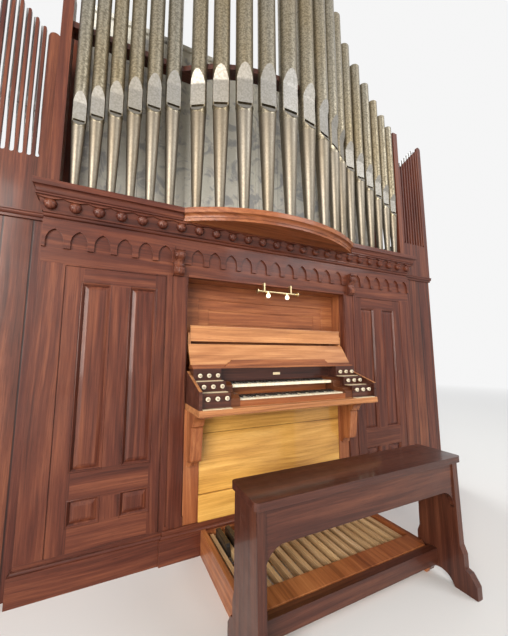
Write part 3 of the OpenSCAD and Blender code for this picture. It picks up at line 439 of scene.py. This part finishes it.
class Mesh:
    """One trim piece, collected ring by ring."""

    def __init__(self):
        self.bm = bmesh.new()

    def loft(self, rings, loop=False):
        """Quads between neighbouring rings of points. The first and last ring are capped, unless the
        rings form a loop."""
        made = [[self.bm.verts.new(p) for p in ring] for ring in rings]
        pairs = list(zip(made, made[1:])) + ([(made[-1], made[0])] if loop else [])
        for a, b in pairs:
            for i in range(len(a)):
                j = (i + 1) % len(a)
                self.bm.faces.new((a[i], a[j], b[j], b[i]))
        if not loop:
            self.bm.faces.new(made[0][::-1])
            self.bm.faces.new(made[-1])

    def bar(self, x0, x1, outline):
        """An outline of (y, z) drawn out along X."""
        self.loft([[(x, y, z) for y, z in outline] for x in (x0, x1)])

    def frame(self, x0, x1, z0, z1, outline):
        """A mitred frame round a field, from an outline of (inset, y)."""
        corners = ((x0, z0, 1, 1), (x1, z0, -1, 1), (x1, z1, -1, -1), (x0, z1, 1, -1))
        rings = [[(x + sx * d, y, z + sz * d) for d, y in outline] for x, z, sx, sz in corners]
        self.loft(rings, loop=True)

    def shell(self, front, back):
        """A closed thin body between two grids of points of the same size."""
        rows = [[[self.bm.verts.new(p) for p in row] for row in grid] for grid in (front, back)]
        high, wide = len(front), len(front[0])
        for side, grid in enumerate(rows):
            for i in range(high - 1):
                for j in range(wide - 1):
                    quad = (grid[i][j], grid[i][j + 1], grid[i + 1][j + 1], grid[i + 1][j])
                    self.bm.faces.new(quad if side == 0 else quad[::-1])
        rim = [(0, j) for j in range(wide)] + [(i, wide - 1) for i in range(1, high)]
        rim += [(high - 1, j) for j in range(wide - 2, -1, -1)]
        rim += [(i, 0) for i in range(high - 2, 0, -1)]
        top, under = rows
        for (i, j), (k, l) in zip(rim, rim[1:] + rim[:1]):
            self.bm.faces.new((top[k][l], top[i][j], under[i][j], under[k][l]))

    def piece(self, name, finish, slot, body=BODY, sharp=35.0):
        bmesh.ops.recalc_face_normals(self.bm, faces=self.bm.faces)
        mesh = bpy.data.meshes.new(name)
        self.bm.to_mesh(mesh)
        self.bm.free()
        mesh.polygons.foreach_set("use_smooth", [True] * len(mesh.polygons))
        mesh.set_sharp_from_angle(angle=math.radians(sharp))
        mesh.materials.append(finish)
        obj = bpy.data.objects.new(name, mesh)
        bpy.context.scene.collection.objects.link(obj)
        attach(obj, body)


def arc(centre, r, angles, turn=1):
    """Points (centre u + r cos a, centre v + turn r sin a) for angles in degrees."""
    u, v = centre
    return [(u + r * math.cos(math.radians(a)), v + turn * r * math.sin(math.radians(a))) for a in angles]


SIDES = (-1, 1)


# Joinery

# Openings of the panels in the left bay, and the section of the moulding round each: inset, y
BAY_X = ((-1.336, -1.190), (-1.066, -0.918))
BAY_Z = ((0.322, 0.446), (0.610, 1.688))
OVOLO = [(-0.0105, 0.0075), (-0.0105, 0.0022), (-0.0088, 0.0012), (-0.0055, 0.0010), (-0.0026, 0.0030),
         (-0.0008, 0.0064), (0.0014, 0.0086), (0.0042, 0.0102), (0.0064, 0.0136), (0.0072, 0.0183),
         (-0.0004, 0.0183), (-0.0004, 0.0075)]


def panel_mouldings():
    """Ovolo in the rebate round each panel of the bays."""
    m = Mesh()
    for x0, x1 in BAY_X:
        for z0, z1 in BAY_Z:
            m.frame(x0, x1, z0, z1, OVOLO)
            m.frame(-x1, -x0, z0, z1, OVOLO)
    m.piece("panel_mouldings", FINISH["case_frames"], "case_wood")


# Frames at the back of the niche: half width, z0, z1 and the front's y
NICHE_FIELDS = ((0.586, 1.096, 1.690, 0.168), (0.500, 1.100, 1.612, 0.178))
BEAD_R = 0.0045


def niche_mouldings():
    """Small bead along the inner edges of the two frames at the back of the niche."""
    m = Mesh()
    for half, z0, z1, y in NICHE_FIELDS:
        bead = arc((0.004, y + BEAD_R), BEAD_R, (120, 90, 60, 30, 0), -1)
        m.frame(-half, half, z0, z1, [(-0.001, y + 0.012), (-0.001, y), *bead, (0.0085, y + 0.012)])
    m.piece("niche_mouldings", FINISH["niche_back"], "niche_wood")


# Front, foot and half length of the key-bed rail; half length and top of the upper desk board
RAIL_Y, RAIL_Z, RAIL_HALF, RAIL_BEAD_R = -0.335, 0.903, 0.698, 0.004
DESK_HALF, DESK_TOP, DESK_MID_Y = 0.668, 1.464, 0.047


def console_beads():
    """Bead along the foot of the key-bed rail, and the rounded cap of the upper desk board."""
    m = Mesh()
    back, mid = RAIL_Y + 0.001, RAIL_Z + 0.007
    bead = arc((RAIL_Y, mid), RAIL_BEAD_R, range(270, 89, -30))
    m.bar(-RAIL_HALF, RAIL_HALF, [(back, mid - RAIL_BEAD_R), *bead, (back, mid + RAIL_BEAD_R)])
    m.piece("rail_bead", FINISH["key_bed"], "desk_wood")
    m = Mesh()
    cap = [(DESK_MID_Y + 0.014 * math.cos(math.radians(a)), DESK_TOP + 0.006 * math.sin(math.radians(a)))
           for a in range(0, 181, 20)]
    foot = [(DESK_MID_Y - 0.014, DESK_TOP - 0.004), (DESK_MID_Y + 0.014, DESK_TOP - 0.004)]
    m.bar(-DESK_HALF - 0.002, DESK_HALF + 0.002, cap + foot)
    m.piece("desk_cap", FINISH["music_desk"], "desk_wood")


# Radius and centre of the bow's plan, underside of its slab, and half the length of the cove
BOW_R, BOW_Y, SLAB_Z, COVE_HALF = 1.4119, 1.0949, 2.226, 0.7595
COVE_R, COVE_OUT, COVE_STEPS = 0.019, 0.007, 60


def bow_cove():
    """Cove between the slab of the bow and its fascia."""
    edge = BOW_R - COVE_OUT
    inner = BOW_R - 0.031
    outline = [(inner, SLAB_Z + 0.001), (edge, SLAB_Z + 0.001), (edge, SLAB_Z - 0.003)]
    outline += arc((edge, SLAB_Z - 0.022), COVE_R, range(105, 181, 15))
    outline += [(BOW_R - 0.026, SLAB_Z - 0.027), (inner, SLAB_Z - 0.027)]
    reach = math.asin(COVE_HALF / edge)
    rings = []
    for i in range(COVE_STEPS + 1):
        turn = reach * (2 * i / COVE_STEPS - 1)
        rings.append([(r * math.sin(turn), BOW_Y - r * math.cos(turn), z) for r, z in outline])
    m = Mesh()
    m.loft(rings)
    m.piece("bow_cove", FINISH["impost_bow"], "niche_wood")


# Foot and height of the string moulding, the wings' front, and the gap between case and wing
STRING_Z, STRING_H, WING_Y, JOINT_X = 2.056, 0.046, 0.034, (1.5662, 1.5875)
STRING_BACK = 0.080


def string_ends():
    """Short length of moulding that closes each wing's string against the case."""
    nose = STRING_H / 3
    fillet = (WING_Y - 0.018, STRING_Z + 0.038)
    outline = [(STRING_BACK, STRING_Z), (WING_Y, STRING_Z), (WING_Y, STRING_Z + nose)]
    outline += arc((WING_Y, STRING_Z + 2 * nose), nose, (250, 230, 210, 190, 170, 152))
    outline += [fillet, (fillet[0], STRING_Z + STRING_H), (STRING_BACK, STRING_Z + STRING_H)]
    m = Mesh()
    for side in SIDES:
        m.bar(*sorted(side * x for x in JOINT_X), outline)
    m.piece("string_ends", FINISH["wing_imposts"], "case_wood")


FILLER_X, FILLER_Y, FILLER_Z = (1.435, 1.565), (0.262, 0.2803), (2.2618, 3.682)
FILLER_EASE = 0.002


def side_fillers():
    """Upright board that closes the space between each corner post and the front of the swell box."""
    m = Mesh()
    (y0, y1), (z0, z1) = FILLER_Y, FILLER_Z
    for side in SIDES:
        x0, x1 = sorted(side * x for x in FILLER_X)
        plan = [(x0, y1), (x0, y0 + FILLER_EASE), (x0 + FILLER_EASE, y0), (x1 - FILLER_EASE, y0),
                (x1, y0 + FILLER_EASE), (x1, y1)]
        m.loft([[(x, y, z) for x, y in plan] for z in (z0, z1)])
    m.piece("side_fillers", FINISH["upper_posts"], "case_wood")


# Carving

BOSS_PITCH, BOSS_COUNT, BOSS_AT, BOSS_R = 2 * 0.702 / 11, 12, (-0.029, 2.140), 0.032
BOSS_AROUND, BOSS_RINGS, BOSS_TILT = 48, 18, -14
PETAL_RISE, BUD_RISE, BUD_EDGE = 0.0050, 0.0048, 0.52


def boss_radius(t, phi):
    """Radius of a carved boss at the angle t from its axis and phi round it: eight petals round a bud."""
    wave = abs(math.cos(4 * phi))
    outer = math.sin(math.pi * min(1.0, max(0.0, (t - 0.50) / 1.20))) ** 0.6
    petal = wave ** 0.7 * (1 - 0.40 * wave ** 8)
    bud = max(0.0, 1 - (t / BUD_EDGE) ** 2) * (0.55 + 0.45 * abs(math.cos(4 * phi + 0.4)))
    return BOSS_R + 0.0004 + PETAL_RISE * outer * petal + BUD_RISE * bud


def boss_rings():
    """Rings of points on one carved boss, about its centre, from its front backwards."""
    tilt = Matrix.Rotation(math.radians(BOSS_TILT), 3, "X")
    rings = []
    for i in range(BOSS_RINGS):
        t = math.radians(4 + 92 * i / (BOSS_RINGS - 1))
        ring = []
        for j in range(BOSS_AROUND):
            phi = 2 * math.pi * j / BOSS_AROUND
            r = boss_radius(t, phi)
            out = r * math.sin(t)
            ring.append(tilt @ Vector((out * math.cos(phi), -r * math.cos(t), out * math.sin(phi))))
        rings.append(ring)
    return rings


def boss_carving():
    """Rosettes carved on the round bosses."""
    m = Mesh()
    rings = boss_rings()
    for k in range(-BOSS_COUNT, BOSS_COUNT + 1):
        centre = Vector((k * BOSS_PITCH, *BOSS_AT))
        m.loft([[centre + p for p in ring] for ring in rings])
    m.piece("boss_carving", FINISH["impost_cornice"], "case_wood", sharp=60)


CORBEL_X, CORBEL_HALF = 0.7735, 0.035
# Front of the corbel from its upper volute down to its lower one: y, z
CORBEL_FRONT = (
    (-0.0560, 1.9625), (-0.0640, 1.9530), (-0.0670, 1.9410), (-0.0645, 1.9290),
    (-0.0545, 1.9200), (-0.0430, 1.9110), (-0.0350, 1.9000), (-0.0322, 1.8870),
    (-0.0340, 1.8730), (-0.0400, 1.8620), (-0.0475, 1.8535), (-0.0505, 1.8430),
    (-0.0490, 1.8270), (-0.0450, 1.8160))


LEAF_ROWS, LEAF_COLUMNS, LEAF_T, LEAF_SAG = 66, 21, 0.002, 0.006


def corbel_point(u):
    """Point at the share u down the corbel's front, and the direction out of it."""
    points = [Vector((0, y, z)) for y, z in CORBEL_FRONT]
    place = u * (len(points) - 1)
    low = min(int(place), len(points) - 2)
    run = points[low + 1] - points[low]
    out = Vector((0, run.z, -run.y)).normalized()
    return points[low].lerp(points[low + 1], place - low), -out if out.y > 0 else out


def leaf_lift(u, v, lobe):
    """Height of the leaf above the corbel: its swell, its midrib and its veins."""
    rib = max(0.0, 1 - abs(v) / 0.18)
    vein = 0.5 + 0.5 * math.cos(11 * abs(v) + 24 * u)
    swell = (1 - v * v) * (0.40 + 0.60 * lobe)
    return 0.0022 + 0.0040 * swell + 0.0024 * rib + 0.0022 * vein * abs(v)


def leaf_rows(side, u):
    """Front and back row of points across the leaf at the share u of its length."""
    at, out = corbel_point(u)
    lobe = abs(math.sin(math.pi * 5.5 * u + 0.4)) ** 0.5
    taper = 1 - 0.62 * max(0.0, (u - 0.72) / 0.28) ** 2
    half = CORBEL_HALF * (0.58 + 0.32 * lobe) * taper
    rows = [], []
    for j in range(LEAF_COLUMNS):
        v = 2 * j / (LEAF_COLUMNS - 1) - 1
        for row, off in zip(rows, (leaf_lift(u, v, lobe), -LEAF_T)):
            x = side * CORBEL_X + v * half
            row.append((x, at.y + out.y * off, at.z + out.z * off - LEAF_SAG * v * v))
    return rows


def corbel_leaves():
    """An acanthus leaf down the front of each corbel, with a midrib and scalloped lobes."""
    m = Mesh()
    for side in SIDES:
        rows = [leaf_rows(side, i / LEAF_ROWS) for i in range(LEAF_ROWS + 1)]
        m.shell([front for front, _ in rows], [back for _, back in rows])
    m.piece("corbel_leaves", FINISH["jamb_corbels"], "case_wood", sharp=70)


# Pipes

IMPOST_TOP = 2.262
PIPE_BOW_R, FLAT_PIPE_Y = 1.3339, 0.012
BOW_PIPES, PIPE_STEPS = 4, 10  # last pipe of the bow and of all, counted outwards from the middle
# Shares of a pipe's radius: distance of its flattened lips from the axis, and radius of the toe in the
# solid and in the sleeve
FLAT_SHARE, SOLID_TOE, TOE_SHARE = 0.45, 0.17, 0.52
# Shares of a pipe's width: slit, and flat and arch of the upper lip, and arch of the lower lip
SLIT, LIP_FLAT, LIP_ARCH, LOWER_ARCH = 0.14, 1.45, 0.75, 0.45
LIP_PLATE = 0.0006  # half the thickness of a lip's plate
LIP_COLUMNS, SEAM_STEPS = 15, 32
# Section of a seam: past the pipe's radius, and up
SEAM = ((-0.0012, -0.0030), (0.0005, -0.0026), (0.0014, -0.0008), (0.0014, 0.0008), (0.0005, 0.0026),
        (-0.0012, 0.0030))


def pipe_size(k):
    """Width of the k-th pipe from the middle, and height of its mouth above the impost."""
    mouth = 0.865 - 0.015 * k if k <= BOW_PIPES else 0.800 - 0.066 * (k - BOW_PIPES - 1)
    return 0.084 + 0.066 * (1 - k / PIPE_STEPS) ** 1.15, mouth


def pipe_place(k, side):
    if k > BOW_PIPES:
        past = k - BOW_PIPES - 1
        out = 0.846 + 0.138 * past - 0.0044 * past ** 2
        return Matrix.Translation((side * out, FLAT_PIPE_Y, IMPOST_TOP))
    turn = math.radians(8.05 * k - 0.12 * k * k)
    at = (side * PIPE_BOW_R * math.sin(turn), BOW_Y - PIPE_BOW_R * math.cos(turn), IMPOST_TOP)
    return Matrix.Translation(at) @ Matrix.Rotation(side * turn, 4, "Z")


def lip_sheet(m, place, r, rows):
    """A thin plate over a flattened lip. rows are functions of x that give y and z, and the direction
    out."""
    half = 0.985 * r * math.sqrt(1 - FLAT_SHARE ** 2)
    spread = [2 * j / (LIP_COLUMNS - 1) - 1 for j in range(LIP_COLUMNS)]
    across = [half * math.sin(math.pi / 2 * share) for share in spread]
    m.shell(*[[[place @ Vector((x, y_of(x) + out[0] * lift, z_of(x) + out[1] * lift)) for x in across]
               for y_of, z_of, out in rows] for lift in (LIP_PLATE, -LIP_PLATE)])


def ring_of(place, r, z, angles):
    """Points round a pipe's axis, with angles in degrees from its front."""
    turns = [math.radians(a) for a in angles]
    return [place @ Vector((r * math.sin(a), -r * math.cos(a), z)) for a in turns]


def clothe_foot(feet, place, r, mouth):
    """Conical sleeve round the foot of a pipe, from below its lower lip down to the impost."""
    foot, top = mouth - 0.12 * r, mouth - 1.04 * r
    high = r * (SOLID_TOE + (1 - SOLID_TOE) * top / foot) + 0.0003
    low = TOE_SHARE * r
    feet.loft([ring_of(place, s, z, range(0, 360, 10)) for s, z in (
        (low - 0.002, -0.0005), (low, 0.004), (high, top))])


def plate_lips(lips, place, d, mouth):
    """Plates on the flat and arch of the upper lip and on the lower lip."""
    r = d / 2
    flat = -FLAT_SHARE * r
    slit_top = mouth + SLIT * d
    lip_top = slit_top + LIP_FLAT * d

    def between(share):
        """Distance in front of the axis, from the flat at 0 to the round body at 1."""
        return lambda x: flat + share * (-math.sqrt(r * r - x * x) - flat)

    def level(z, arch=0.0):
        """Height z in the middle, more by arch widths at the edge of the flat."""
        return lambda x: z + arch * d * (math.sqrt(r * r - x * x) + flat) / ((1 - FLAT_SHARE) * r)

    slope_up, slope_down = (-0.939, -0.344), (-0.853, 0.521)
    lip_sheet(lips, place, r, [
        (between(0), level(slit_top + 0.0006), (-1, 0)),
        (between(0), level(lip_top - 0.09 * d), (-1, 0)),
        (between(0), level(lip_top), (-0.98, -0.17)),
        (between(0.16), level(lip_top, 0.16 * LIP_ARCH), slope_up),
        (between(0.5), level(lip_top, 0.5 * LIP_ARCH), slope_up),
        (between(1), level(lip_top, LIP_ARCH), slope_up)])
    lip_sheet(lips, place, r, [
        (between(0), level(mouth - 0.0006), (-1, 0.1)),
        (between(0.5), level(mouth, -0.5 * LOWER_ARCH), slope_down),
        (between(1), level(mouth, -LOWER_ARCH), slope_down)])


def solder_seam(seams, place, d, mouth):
    """Seam round the sides and back of a pipe, where its body and foot meet."""
    z = mouth - 0.06 * d
    rings = []
    for i in range(SEAM_STEPS + 1):
        angle = 60 + 240 * i / SEAM_STEPS
        rings.append([ring_of(place, d / 2 + out, z + up, (angle,))[0] for out, up in SEAM])
    seams.loft(rings)


def dress_pipes():
    """Bright plates on the lips of the display pipes, the soldered seam where body and foot meet, and
    the sleeve of each foot."""
    lips, seams, feet = Mesh(), Mesh(), Mesh()
    for k in range(PIPE_STEPS + 1):
        d, mouth = pipe_size(k)
        for side in SIDES if k else (1,):
            place = pipe_place(k, side)
            clothe_foot(feet, place, d / 2, mouth)
            plate_lips(lips, place, d, mouth)
            solder_seam(seams, place, d, mouth)
    lips.piece("pipe_lips", LIP_METAL, "pipe_metal", sharp=40)
    seams.piece("pipe_seams", SPOTTED, "pipe_metal")
    feet.piece("pipe_feet", FOOT_METAL, "pipe_metal")


# Console details

# Sections of the inlays on a knob's face: distance from the axis, and back from the face
KNOB_RING = ((0.0072, 0.0004), (0.0072, -0.0002), (0.0081, -0.0002), (0.0081, 0.0004))
KNOB_MIDDLE = ((0.0002, -0.0001), (0.0040, -0.00025), (0.0066, -0.0002), (0.0068, 0.0004),
               (0.0002, 0.0004))
INLAY_STEPS = 32


def knob_inlays():
    """A dark turned line and a slightly darker middle on the face of each stop knob, left bare."""
    turns = [2 * math.pi * i / INLAY_STEPS for i in range(INLAY_STEPS)]
    for name in sorted(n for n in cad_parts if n.startswith("stop_knob")):
        low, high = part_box(name)
        x, y, z = (low[0] + high[0]) / 2, low[1], (low[2] + high[2]) / 2
        for part, finish, section in (
                ("line", KNOB_LINE, KNOB_RING), ("middle", KNOB_DARK_MIDDLE, KNOB_MIDDLE)):
            m = Mesh()
            m.loft([[(x + r * math.cos(a), y + back, z + r * math.sin(a)) for r, back in section]
                    for a in turns], loop=True)
            m.piece(f"{name}_{part}", finish, "ivory", name + "_body")


# Outer face and thickness of the cheeks, and both ends of their sloping edge: y, z
CHEEK_OUT, CHEEK_T, CHEEK_SLOPE = 0.698, 0.020, ((-0.327, 1.046), (-0.013, 1.151))
CAP_T, CAP_INSET, CAP_EASE = 0.0022, 0.0008, 0.0012


def cheek_highlight_caps():
    """Pale facing along the sloping edge of each cheek beside the knobs: painted highlight where the lamp
    above lights the slope.
    """
    (y0, z0), (y1, z1) = CHEEK_SLOPE
    run = math.hypot(y1 - y0, z1 - z0)
    up = Vector((-(z1 - z0) / run, (y1 - y0) / run))
    m = Mesh()
    for side in SIDES:
        low, high = sorted((side * (CHEEK_OUT - CAP_INSET), side * (CHEEK_OUT - CHEEK_T + CAP_INSET)))
        section = ((low, -0.0006), (low, 0.0014), (low + CAP_EASE, CAP_T), (high - CAP_EASE, CAP_T),
                   (high, 0.0014), (high, -0.0006))
        m.loft([[(x, y + up.x * h, z + up.y * h) for x, h in section] for y, z in (
            (y0 + 0.0015, z0 + 0.0005), (y1 - 0.001, z1 - 0.0003))])
    m.piece("cheek_highlight_caps", FINISH["music_desk"], "desk_wood")


# Pale strips at the foot of each row of knobs, painted highlight on these upward faces lit by the lamp
# above: y0, y1, z, and then their ends in x and their thickness
TREADS = ((-0.331, -0.294, 0.941), (-0.252, -0.2055, 1.029), (-0.164, -0.1175, 1.092))
TREAD_X, TREAD_T, TREAD_EASE = (0.4925, 0.6755), 0.0030, 0.0010


def tread_highlight_strips():
    """Pale strips laid on the rail and on the treads at the foot of each row of knobs: painted highlight
    where the lamp above lights these upward faces.
    """
    m = Mesh()
    for y0, y1, z in TREADS:
        foot, top = z - 0.0004, z + TREAD_T
        section = [(y0, foot), (y0, top - TREAD_EASE), (y0 + TREAD_EASE, top), (y1 - TREAD_EASE, top),
                   (y1, top - TREAD_EASE), (y1, foot)]
        for side in SIDES:
            m.bar(*sorted(side * x for x in TREAD_X), section)
    m.piece("tread_highlight_strips", TREAD_HIGHLIGHT_AND_PLATE, "ivory")


# White keys: half the length of a keyboard, their number, half the gap between two, and front and top
KEY_HALF, KEY_COUNT, KEY_GAP = 0.423, 36, 0.0007
KEY_ROWS = ((-0.262, 0.985), (-0.134, 1.063))


def key_lips():
    """The rounded front edge of each white key's facing."""
    m = Mesh()
    for front, top in KEY_ROWS:
        lip = [(front + 0.004, top - 0.0022), (front - 0.0004, top - 0.0022), (front - 0.0016, top - 0.0012),
               (front - 0.0012, top - 0.0001), (front, top + 0.0003), (front + 0.004, top + 0.0003)]
        for i in range(KEY_COUNT):
            x0 = -KEY_HALF + i * KEY_W + KEY_GAP
            m.bar(x0, x0 + KEY_W - 2 * KEY_GAP, lip)
    m.piece("key_lips", KNOB_IVORY, "ivory")


# Middle, half size and corner radius of the plate
NAME_AT, NAME_HALF, NAME_CORNER = (-0.006, -0.016, 1.120), (0.0305, 0.0095), 0.003


def name_plate():
    """Small pale plate on the nameboard, left bare."""
    x, y, z = NAME_AT
    reach, rise = (half - NAME_CORNER for half in NAME_HALF)
    outline = []
    for sx, sz, start in ((1, 1, 0), (-1, 1, 90), (-1, -1, 180), (1, -1, 270)):
        outline += arc((x + sx * reach, z + sz * rise), NAME_CORNER, range(start, start + 91, 30))
    m = Mesh()
    m.loft([[(px, y + 0.0022, pz) for px, pz in outline], [(px, y - 0.0004, pz) for px, pz in outline],
            [(x + 0.985 * (px - x), y - 0.0008, z + 0.95 * (pz - z)) for px, pz in outline]])
    m.piece("name_plate", TREAD_HIGHLIGHT_AND_PLATE, "ivory")


panel_mouldings()
niche_mouldings()
console_beads()
bow_cove()
string_ends()
side_fillers()
boss_carving()
corbel_leaves()
dress_pipes()
knob_inlays()
cheek_highlight_caps()
tread_highlight_strips()
key_lips()
name_plate()


# Stage

BACKDROP = (0.92, 0.92, 0.92, 1.0)
FLOOR, FLOOR_HALF, FLOOR_FADE = (0.80, 0.79, 0.77, 1.0), 40.0, (5.0, 14.0)
SKY, SKY_STRENGTH = (0.95, 0.97, 1.0, 1.0), 0.46
SENSOR, FAR_CLIP = 36.0, 200.0
# Lamps: name, place, aim, size in metres, power in watts and colour
LAMPS = (("key_light", (-6.5, -7.5, 3.6), (0, 0, 1.9), 6.0, 1350, (1.0, 0.96, 0.90)),
         ("fill_light", (5.5, -8.0, 7.5), (0, 0, 2.0), 6.0, 520, (0.96, 0.98, 1.0)),
         ("back_light", (3.0, 8.0, 6.5), (0, 0, 2.5), 5.0, 380, (1.0, 1.0, 1.0)))


def backdrop_rays(nodes, links):
    """1 on the rays that see the backdrop as it is: camera, glossy and transmission rays."""
    path = nodes.new("ShaderNodeLightPath")
    found = path.outputs["Is Camera Ray"]
    for kind in ("Is Glossy Ray", "Is Transmission Ray"):
        either = nodes.new("ShaderNodeMath")
        either.operation = "MAXIMUM"
        links.new(found, either.inputs[0])
        links.new(path.outputs[kind], either.inputs[1])
        found = either.outputs[0]
    return found


def make_floor():
    """Pale floor that keeps the shadows near the organ and runs out into the backdrop."""
    t = Tree("stage_floor")
    t.set(Base_Color=FLOOR, Roughness=0.7)
    far = t.span(t.vector("LENGTH", t.coords()), *FLOOR_FADE)
    plain = t.add("ShaderNodeEmission", {"Color": BACKDROP, "Strength": 1.0})
    fade = t.math("MULTIPLY", far, backdrop_rays(t.nodes, t.links))
    blend = t.add("ShaderNodeMixShader", {0: fade, 1: t.shader.outputs[0], 2: plain.outputs[0]})
    t.links.new(blend.outputs[0], t.out.inputs["Surface"])
    mesh = bpy.data.meshes.new("floor")
    corners = ((-1, -1), (1, -1), (1, 1), (-1, 1))
    mesh.from_pydata([(x * FLOOR_HALF, y * FLOOR_HALF, 0) for x, y in corners], [], [(0, 1, 2, 3)])
    floor = bpy.data.objects.new("floor", mesh)
    floor.data.materials.append(t.mat)
    bpy.context.scene.collection.objects.link(floor)


def make_world():
    """Soft light from all round, before a pale backdrop."""
    world = bpy.data.worlds.new("studio")
    bpy.context.scene.world = world
    world.use_nodes = True
    nodes, links = world.node_tree.nodes, world.node_tree.links
    nodes.clear()
    shades = []
    for colour, strength in ((SKY, SKY_STRENGTH), (BACKDROP, 1.0)):
        shade = nodes.new("ShaderNodeBackground")
        shade.inputs[0].default_value = colour
        shade.inputs[1].default_value = strength
        shades.append(shade)
    blend = nodes.new("ShaderNodeMixShader")
    out = nodes.new("ShaderNodeOutputWorld")
    links.new(backdrop_rays(nodes, links), blend.inputs[0])
    links.new(shades[0].outputs[0], blend.inputs[1])
    links.new(shades[1].outputs[0], blend.inputs[2])
    links.new(blend.outputs[0], out.inputs[0])


def area_light(name, at, towards, size, power, colour):
    light = bpy.data.lights.new(name, "AREA")
    light.shape = "SQUARE"
    light.size = size
    light.energy = power
    light.color = colour
    obj = bpy.data.objects.new(name, light)
    bpy.context.scene.collection.objects.link(obj)
    obj.location = at
    obj.rotation_euler = (Vector(towards) - Vector(at)).to_track_quat("-Z", "Y").to_euler()


def make_camera():
    camera = bpy.data.cameras.new("camera")
    camera.lens = CAMERA_LENS
    camera.sensor_width = SENSOR
    camera.clip_end = FAR_CLIP
    obj = bpy.data.objects.new("camera", camera)
    bpy.context.scene.collection.objects.link(obj)
    yaw, pitch = math.radians(CAMERA_YAW), math.radians(CAMERA_PITCH)
    level = math.cos(pitch)
    aim = Vector((math.sin(yaw) * level, math.cos(yaw) * level, math.sin(pitch)))
    turn = aim.to_track_quat("-Z", "Y").to_matrix().to_4x4()
    roll = Matrix.Rotation(math.radians(CAMERA_ROLL), 4, "Z")
    obj.matrix_world = Matrix.Translation(CAMERA_AT) @ turn @ roll
    bpy.context.scene.camera = obj


make_floor()
make_world()
for lamp in LAMPS:
    area_light(*lamp)
make_camera()
bpy.context.scene.view_settings.view_transform = "Standard"
